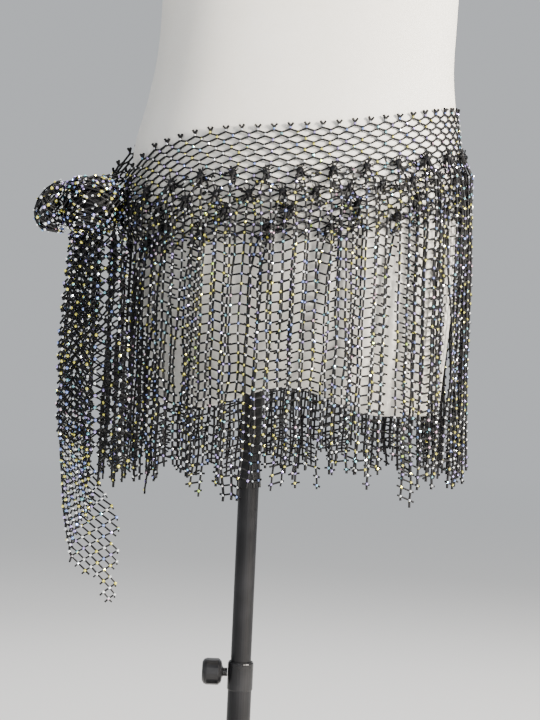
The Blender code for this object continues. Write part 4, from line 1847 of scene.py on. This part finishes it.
@dataclass
class LowerTail(Tail):
    """The long tail behind, folded at its left edge and cut to a point.

    Its hem is (share of the width, rise). The net in front of the fold is drawn closer.
    """

    name: str = "lower_tail"
    node: str = "tail_lower"
    edges: dict = field(default_factory=lambda: curves_of(LOWER_TAIL))
    layers: tuple = (TailLayer(0, 0.0, 1.0, 0.16), TailLayer(1, 0.0022, 0.10, -0.08))
    cells: int = 9
    rows: int = 70
    length: float = 0.38
    shift: float = 0.4
    jitter: float = 0.001
    hem: tuple = (
        (0.00, -0.104), (0.30, -0.136), (0.42, -0.162), (0.57, -0.174), (0.73, -0.182),
        (0.87, -0.200), (0.94, -0.211), (1.00, -0.203),
    )  # fmt: skip
    fold_at: float = 0.42
    front_net: float = 0.60
    turned_above: float = 0.19
    wave_depth: float = 0.0022
    waves_across: float = 1.7
    waves_a_metre: float = 4.0

    def share(self, across: float) -> float:
        """Share of the cloth's width at a distance across its bunched net."""
        part = across / (self.cells * NET_CELL)
        return float(np.interp(part, (0.0, self.front_net, 1.0), (0.0, self.fold_at, 1.0)))

    def place(self, layer: TailLayer, across: float, down: float) -> Point:
        """Point of a layer's net.

        Args:
            layer: The layer.
            across: Distance across the flat net.
            down: Distance down it.

        Returns:
            The point.
        """
        u = self.share(across)
        at = self.edges_at(down)
        if u < self.fold_at:
            x = at["front_x"] + (at["fold_x"] - at["front_x"]) * u / self.fold_at
            y = at["front_y"]
        else:
            x = at["fold_x"] + (at["back_x"] - at["fold_x"]) * (u - self.fold_at) / (1 - self.fold_at)
            y = at["back_y"]
        wave = math.sin(2 * math.pi * (self.waves_across * u + self.waves_a_metre * down))
        return np.array((x, y + self.wave_depth * wave + layer.back, RIM_HEIGHT + self.top - down))

    def keeps(self, layer: TailLayer, across: float, down: float) -> bool:
        """Tells whether the cut layer has this place. Only the first goes round the fold.

        Args:
            layer: The layer.
            across: Distance across the flat net.
            down: Distance down it.

        Returns:
            Whether it does.
        """
        u = self.share(across)
        if layer.number and u > self.fold_at or down > layer.reach:
            return False
        hem = float(np.interp(u, *zip(*self.hem)))
        return self.top - down > hem - 0.5 * self.half_row

    def turns(self, layer: TailLayer, across: float, down: float) -> bool:
        """Whether the net shows its stones on its back here: behind the fold, and near the knot."""
        return across > self.front_net * self.cells * NET_CELL or down < self.turned_above


# ---------------------------------------------------------------- form and stand


@dataclass
class DressForm:
    """The cloth-covered torso form, with a shallow arch under it."""

    surface: FormSurface
    sides: int = 144
    rows: int = 110
    rim_round: float = 0.005
    rim_steps: int = 5
    arch_height: float = 0.025
    arch_half_width: float = 0.095
    arch_middle: float = 0.035
    arch_run: float = 0.040
    socket_radius: float = 0.0113
    socket_depth: float = 0.150
    socket_below: float = 0.06
    socket_sides: int = 48
    sharp_angle: float = math.radians(40)

    def arch(self, x: float) -> float:
        """Rise of the underside at x."""
        share = (x - self.arch_middle) / self.arch_half_width
        return self.arch_height * math.cos(share * math.pi / 2) ** 2 if abs(share) < 1 else 0.0

    def ring(self, rise: float, inset: float = 0.0) -> list:
        """Lays a level ring of points, raised over the arch if it is low.

        Args:
            rise: Its rise.
            inset: How far inside the form's skin.

        Returns:
            Its points.
        """
        turns = [2 * math.pi * i / self.sides for i in range(self.sides)]
        ring = [self.surface.skin(rise, t, -inset) for t in turns]
        for point in ring:
            point[2] += self.arch(point[0]) * max(1 - rise / self.arch_run, 0.0)
        return ring

    def rings(self) -> list:
        """Lays all of the form's rings.

        Returns:
            The rings, from its rounded rim up to its neck.
        """
        angles = [math.pi / 2 * step / self.rim_steps for step in range(self.rim_steps + 1)]
        rim = [(self.rim_round * (1 - math.cos(a)), self.rim_round * (1 - math.sin(a))) for a in angles]
        height = FORM_SECTIONS[-1].rise - self.rim_round
        rises = [self.rim_round + height * k / self.rows for k in range(1, self.rows + 1)]
        return [self.ring(*place) for place in rim] + [self.ring(rise) for rise in rises]

    def build(self) -> None:
        """Builds the form with its closed ends and the socket for the mast."""
        rings = self.rings()
        n = self.sides
        points = [p for ring in rings for p in ring]
        faces = ring_faces(len(rings), n)
        quarter = n // 4
        front = [i % n for i in range(-quarter, quarter + 1)]
        back = [(3 * quarter - k) % n for k in range(2 * quarter + 1)]
        for k in range(2 * quarter):
            faces.append(tuple(dict.fromkeys((back[k], back[k + 1], front[k + 1], front[k]))))
        faces.append(tuple(range(len(points) - n, len(points))))
        form = add_object("form_cover", points, faces, FORM_CLOTH)
        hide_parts("dress_form")
        self.cut_socket(form)
        form.data.set_sharp_from_angle(angle=self.sharp_angle)

    def cut_socket(self, form: Object) -> None:
        """Cuts the blind socket and applies the cut.

        Args:
            form: The form.
        """
        depth = self.socket_depth + self.socket_below
        bpy.ops.mesh.primitive_cylinder_add(
            vertices=self.socket_sides,
            radius=self.socket_radius,
            depth=depth,
            location=(0, 0, RIM_HEIGHT + self.socket_depth - depth / 2),
        )
        cutter = bpy.context.object
        cut = form.modifiers.new("socket", "BOOLEAN")
        cut.operation = "DIFFERENCE"
        cut.object = cutter
        graph = bpy.context.evaluated_depsgraph_get()
        made = bpy.data.meshes.new_from_object(form.evaluated_get(graph))
        form.modifiers.remove(cut)
        form.data = made
        bpy.data.objects.remove(cutter, do_unlink=True)


@dataclass
class Stand:
    """The pole stand: its base is turned again more finely, and the rest keeps its solids."""

    base_radius: float = 0.170
    edge: float = 0.006
    hub_radius: float = 0.030
    hub_height: float = 0.024
    bore: float = 0.0128
    steps: int = 128
    weld: float = 1e-6
    sliver: float = 1e-7
    sharp_angle: float = math.radians(50)

    def base_profile(self) -> list:
        """Draws the base's section, down its outer side and back inside.

        Returns:
            (radius, height) of each of its points.
        """
        return [
            (self.bore, self.hub_height),
            (self.hub_radius - 0.004, self.hub_height),
            (self.hub_radius - 0.0012, self.hub_height - 0.0012),
            (self.hub_radius, self.hub_height - 0.004),
            (self.hub_radius + 0.004, self.edge + 0.006),
            (self.hub_radius + 0.008, self.edge + 0.004),
            (self.hub_radius + 0.014, self.edge + 0.003),
            (self.base_radius - 0.010, self.edge),
            (self.base_radius - 0.003, self.edge - 0.001),
            (self.base_radius - 0.0008, self.edge - 0.0024),
            (self.base_radius, self.edge - 0.004),
            (self.base_radius, 0.0008),
            (self.base_radius - 0.0008, 0.0),
            (0.0, 0.0),
            (0.0, self.edge),
            (self.bore, self.edge),
            (self.bore, self.hub_height),
        ]

    def build(self) -> None:
        """Turns the base and dresses the stand's solids."""
        profile = self.base_profile()
        turns = [2 * math.pi * i / self.steps for i in range(self.steps)]
        points = [(r * math.cos(t), r * math.sin(t), height) for r, height in profile for t in turns]
        faces = [(a, d, c, b) for a, b, c, d in ring_faces(len(profile), self.steps)]
        base = add_object("base", points, faces, STAND_PAINT, "stand")
        clean = bmesh.new()
        clean.from_mesh(base.data)
        bmesh.ops.remove_doubles(clean, verts=clean.verts, dist=self.weld)
        bmesh.ops.dissolve_degenerate(clean, edges=clean.edges, dist=self.sliver)
        clean.to_mesh(base.data)
        clean.free()
        base.data.set_sharp_from_angle(angle=self.sharp_angle)
        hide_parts("base_disc")
        for node in ("lower_tube", "mast"):
            dress(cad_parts[node], STAND_PAINT)
        for node in ("clamp_collar", "clamp_knob"):
            dress(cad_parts[node], CLAMP_PLASTIC)


# ---------------------------------------------------------------- studio


class Wash(Enum):
    """Tints of the studio's lights."""

    NEUTRAL = WHITE
    WARM = (1.0, 0.93, 0.83)
    COOL = (0.86, 0.92, 1.0)


@dataclass(frozen=True)
class Lamp:
    """A soft square light: where it stands, what it faces, and its size and power."""

    name: str
    place: tuple
    target: tuple
    size: float
    power: float
    wash: Wash = Wash.NEUTRAL

    def build(self) -> None:
        """Adds the light."""
        data = bpy.data.lights.new(self.name, "AREA")
        data.size = self.size
        data.energy = self.power
        data.color = self.wash.value
        lamp = bpy.data.objects.new(self.name, data)
        lamp.location = self.place
        lamp.rotation_euler = (Vector(self.target) - Vector(self.place)).to_track_quat("-Z", "Y").to_euler()
        bpy.context.scene.collection.objects.link(lamp)


@dataclass
class Studio:
    """Pale floor, soft lights and the camera. Far out, the floor fades into the surround."""

    floor_half: float = 14.0
    floor_roughness: float = 0.9
    floor_colour: tuple = (0.76, 0.76, 0.76)
    fade: tuple = (0.15, 0.5)
    distance: float = 2.0
    lens: float = 96.0
    sensor: float = 36.0
    far_clip: float = 100.0
    camera_x: float = 0.0163
    eye_height: float = 0.770
    pitch: float = math.radians(-1.76)
    roll: float = math.radians(2.58)
    world: float = 0.58
    surround: tuple = (0.925, 0.96, 1.0)
    lamps: tuple = (
        Lamp("key", (2.3, -1.5, 1.8), (0.04, 0.0, 0.85), 0.9, 345.0, Wash.WARM),
        Lamp("fill", (-2.4, -1.6, 1.3), (0.0, 0.0, 0.8), 1.6, 4.0, Wash.COOL),
        Lamp("rim", (0.6, 2.2, 2.2), (0.0, 0.0, 0.9), 1.2, 34.0),
        Lamp("spark_high", (-0.35, -2.3, 1.75), (0.0, 0.0, 0.75), 0.22, 6.0),
        Lamp("spark_left", (-1.1, -2.0, 1.15), (0.0, 0.0, 0.75), 0.22, 6.0),
        Lamp("spark_right", (0.75, -2.2, 0.95), (0.0, 0.0, 0.75), 0.22, 6.0),
        Lamp("spark_low", (0.15, -2.4, 0.35), (0.0, 0.0, 0.75), 0.22, 5.0),
        Lamp("spark_back", (-0.9, 2.0, 1.4), (0.0, 0.0, 0.75), 0.22, 6.0),
    )

    def build_floor(self) -> None:
        """Lays the floor, a plain pale sheet under the stand."""
        mesh = bpy.data.meshes.new("floor")
        h = self.floor_half
        mesh.from_pydata([(-h, -h, 0), (h, -h, 0), (h, h, 0), (-h, h, 0)], [], [(0, 1, 2, 3)])
        floor = bpy.data.objects.new("floor", mesh)
        bpy.context.scene.collection.objects.link(floor)
        material = bpy.data.materials.new("floor")
        material.use_nodes = True
        tree = material.node_tree
        shader = tree.nodes["Principled BSDF"]
        shader.inputs["Roughness"].default_value = self.floor_roughness
        shader.inputs["Specular IOR Level"].default_value = 0.0
        shader.inputs["Emission Strength"].default_value = self.world
        place = tree.nodes.new("ShaderNodeTexCoord")
        length = tree.nodes.new("ShaderNodeVectorMath")
        length.operation = "LENGTH"
        join(tree, place.outputs["Object"], length.inputs[0])
        share = maths(tree, "DIVIDE", length.outputs["Value"], self.floor_half)
        base = blend_colours(tree, share, zip(self.fade, (self.floor_colour, BLACK)))
        glow = blend_colours(tree, share, zip(self.fade, (BLACK, self.surround)))
        join(tree, base, shader.inputs["Base Color"])
        join(tree, glow, shader.inputs["Emission Color"])
        mesh.materials.append(material)

    def build_world(self) -> None:
        """Sets an even pale surround."""
        world = bpy.data.worlds.new("studio")
        world.use_nodes = True
        sky = world.node_tree.nodes["Background"]
        sky.inputs["Color"].default_value = (*self.surround, 1)
        sky.inputs["Strength"].default_value = self.world
        bpy.context.scene.world = world

    def build_camera(self) -> None:
        """Sets the camera in front of the hips, level with them and slightly rolled."""
        data = bpy.data.cameras.new("camera")
        data.lens = self.lens
        data.sensor_width = self.sensor
        data.clip_end = self.far_clip
        camera = bpy.data.objects.new("camera", data)
        bpy.context.scene.collection.objects.link(camera)
        place = Matrix.Translation((self.camera_x, -self.distance, self.eye_height))
        aim = Matrix.Rotation(math.pi / 2 + self.pitch, 4, "X") @ Matrix.Rotation(self.roll, 4, "Z")
        camera.matrix_world = place @ aim
        bpy.context.scene.camera = camera

    def build(self) -> None:
        """Builds the studio."""
        self.build_camera()
        self.build_world()
        self.build_floor()
        for lamp in self.lamps:
            lamp.build()


def main() -> None:
    """Builds every piece in order."""
    logging.basicConfig(level=logging.INFO, format="%(name)s: %(message)s")
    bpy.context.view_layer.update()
    Studio().build()
    form = FormSurface()
    band = BandSurface(form)
    DressForm(form).build()
    Stand().build()
    fringe = []
    for number, row in enumerate(BEAD_ROWS, start=1):
        fringe += FringeRow(band, number, row).build()
    tie = Tie()
    HipBand(band, tie).build(fringe)
    tie.build()
    UpperTail().build()
    LowerTail().build()


if __name__ == "__main__":
    main()
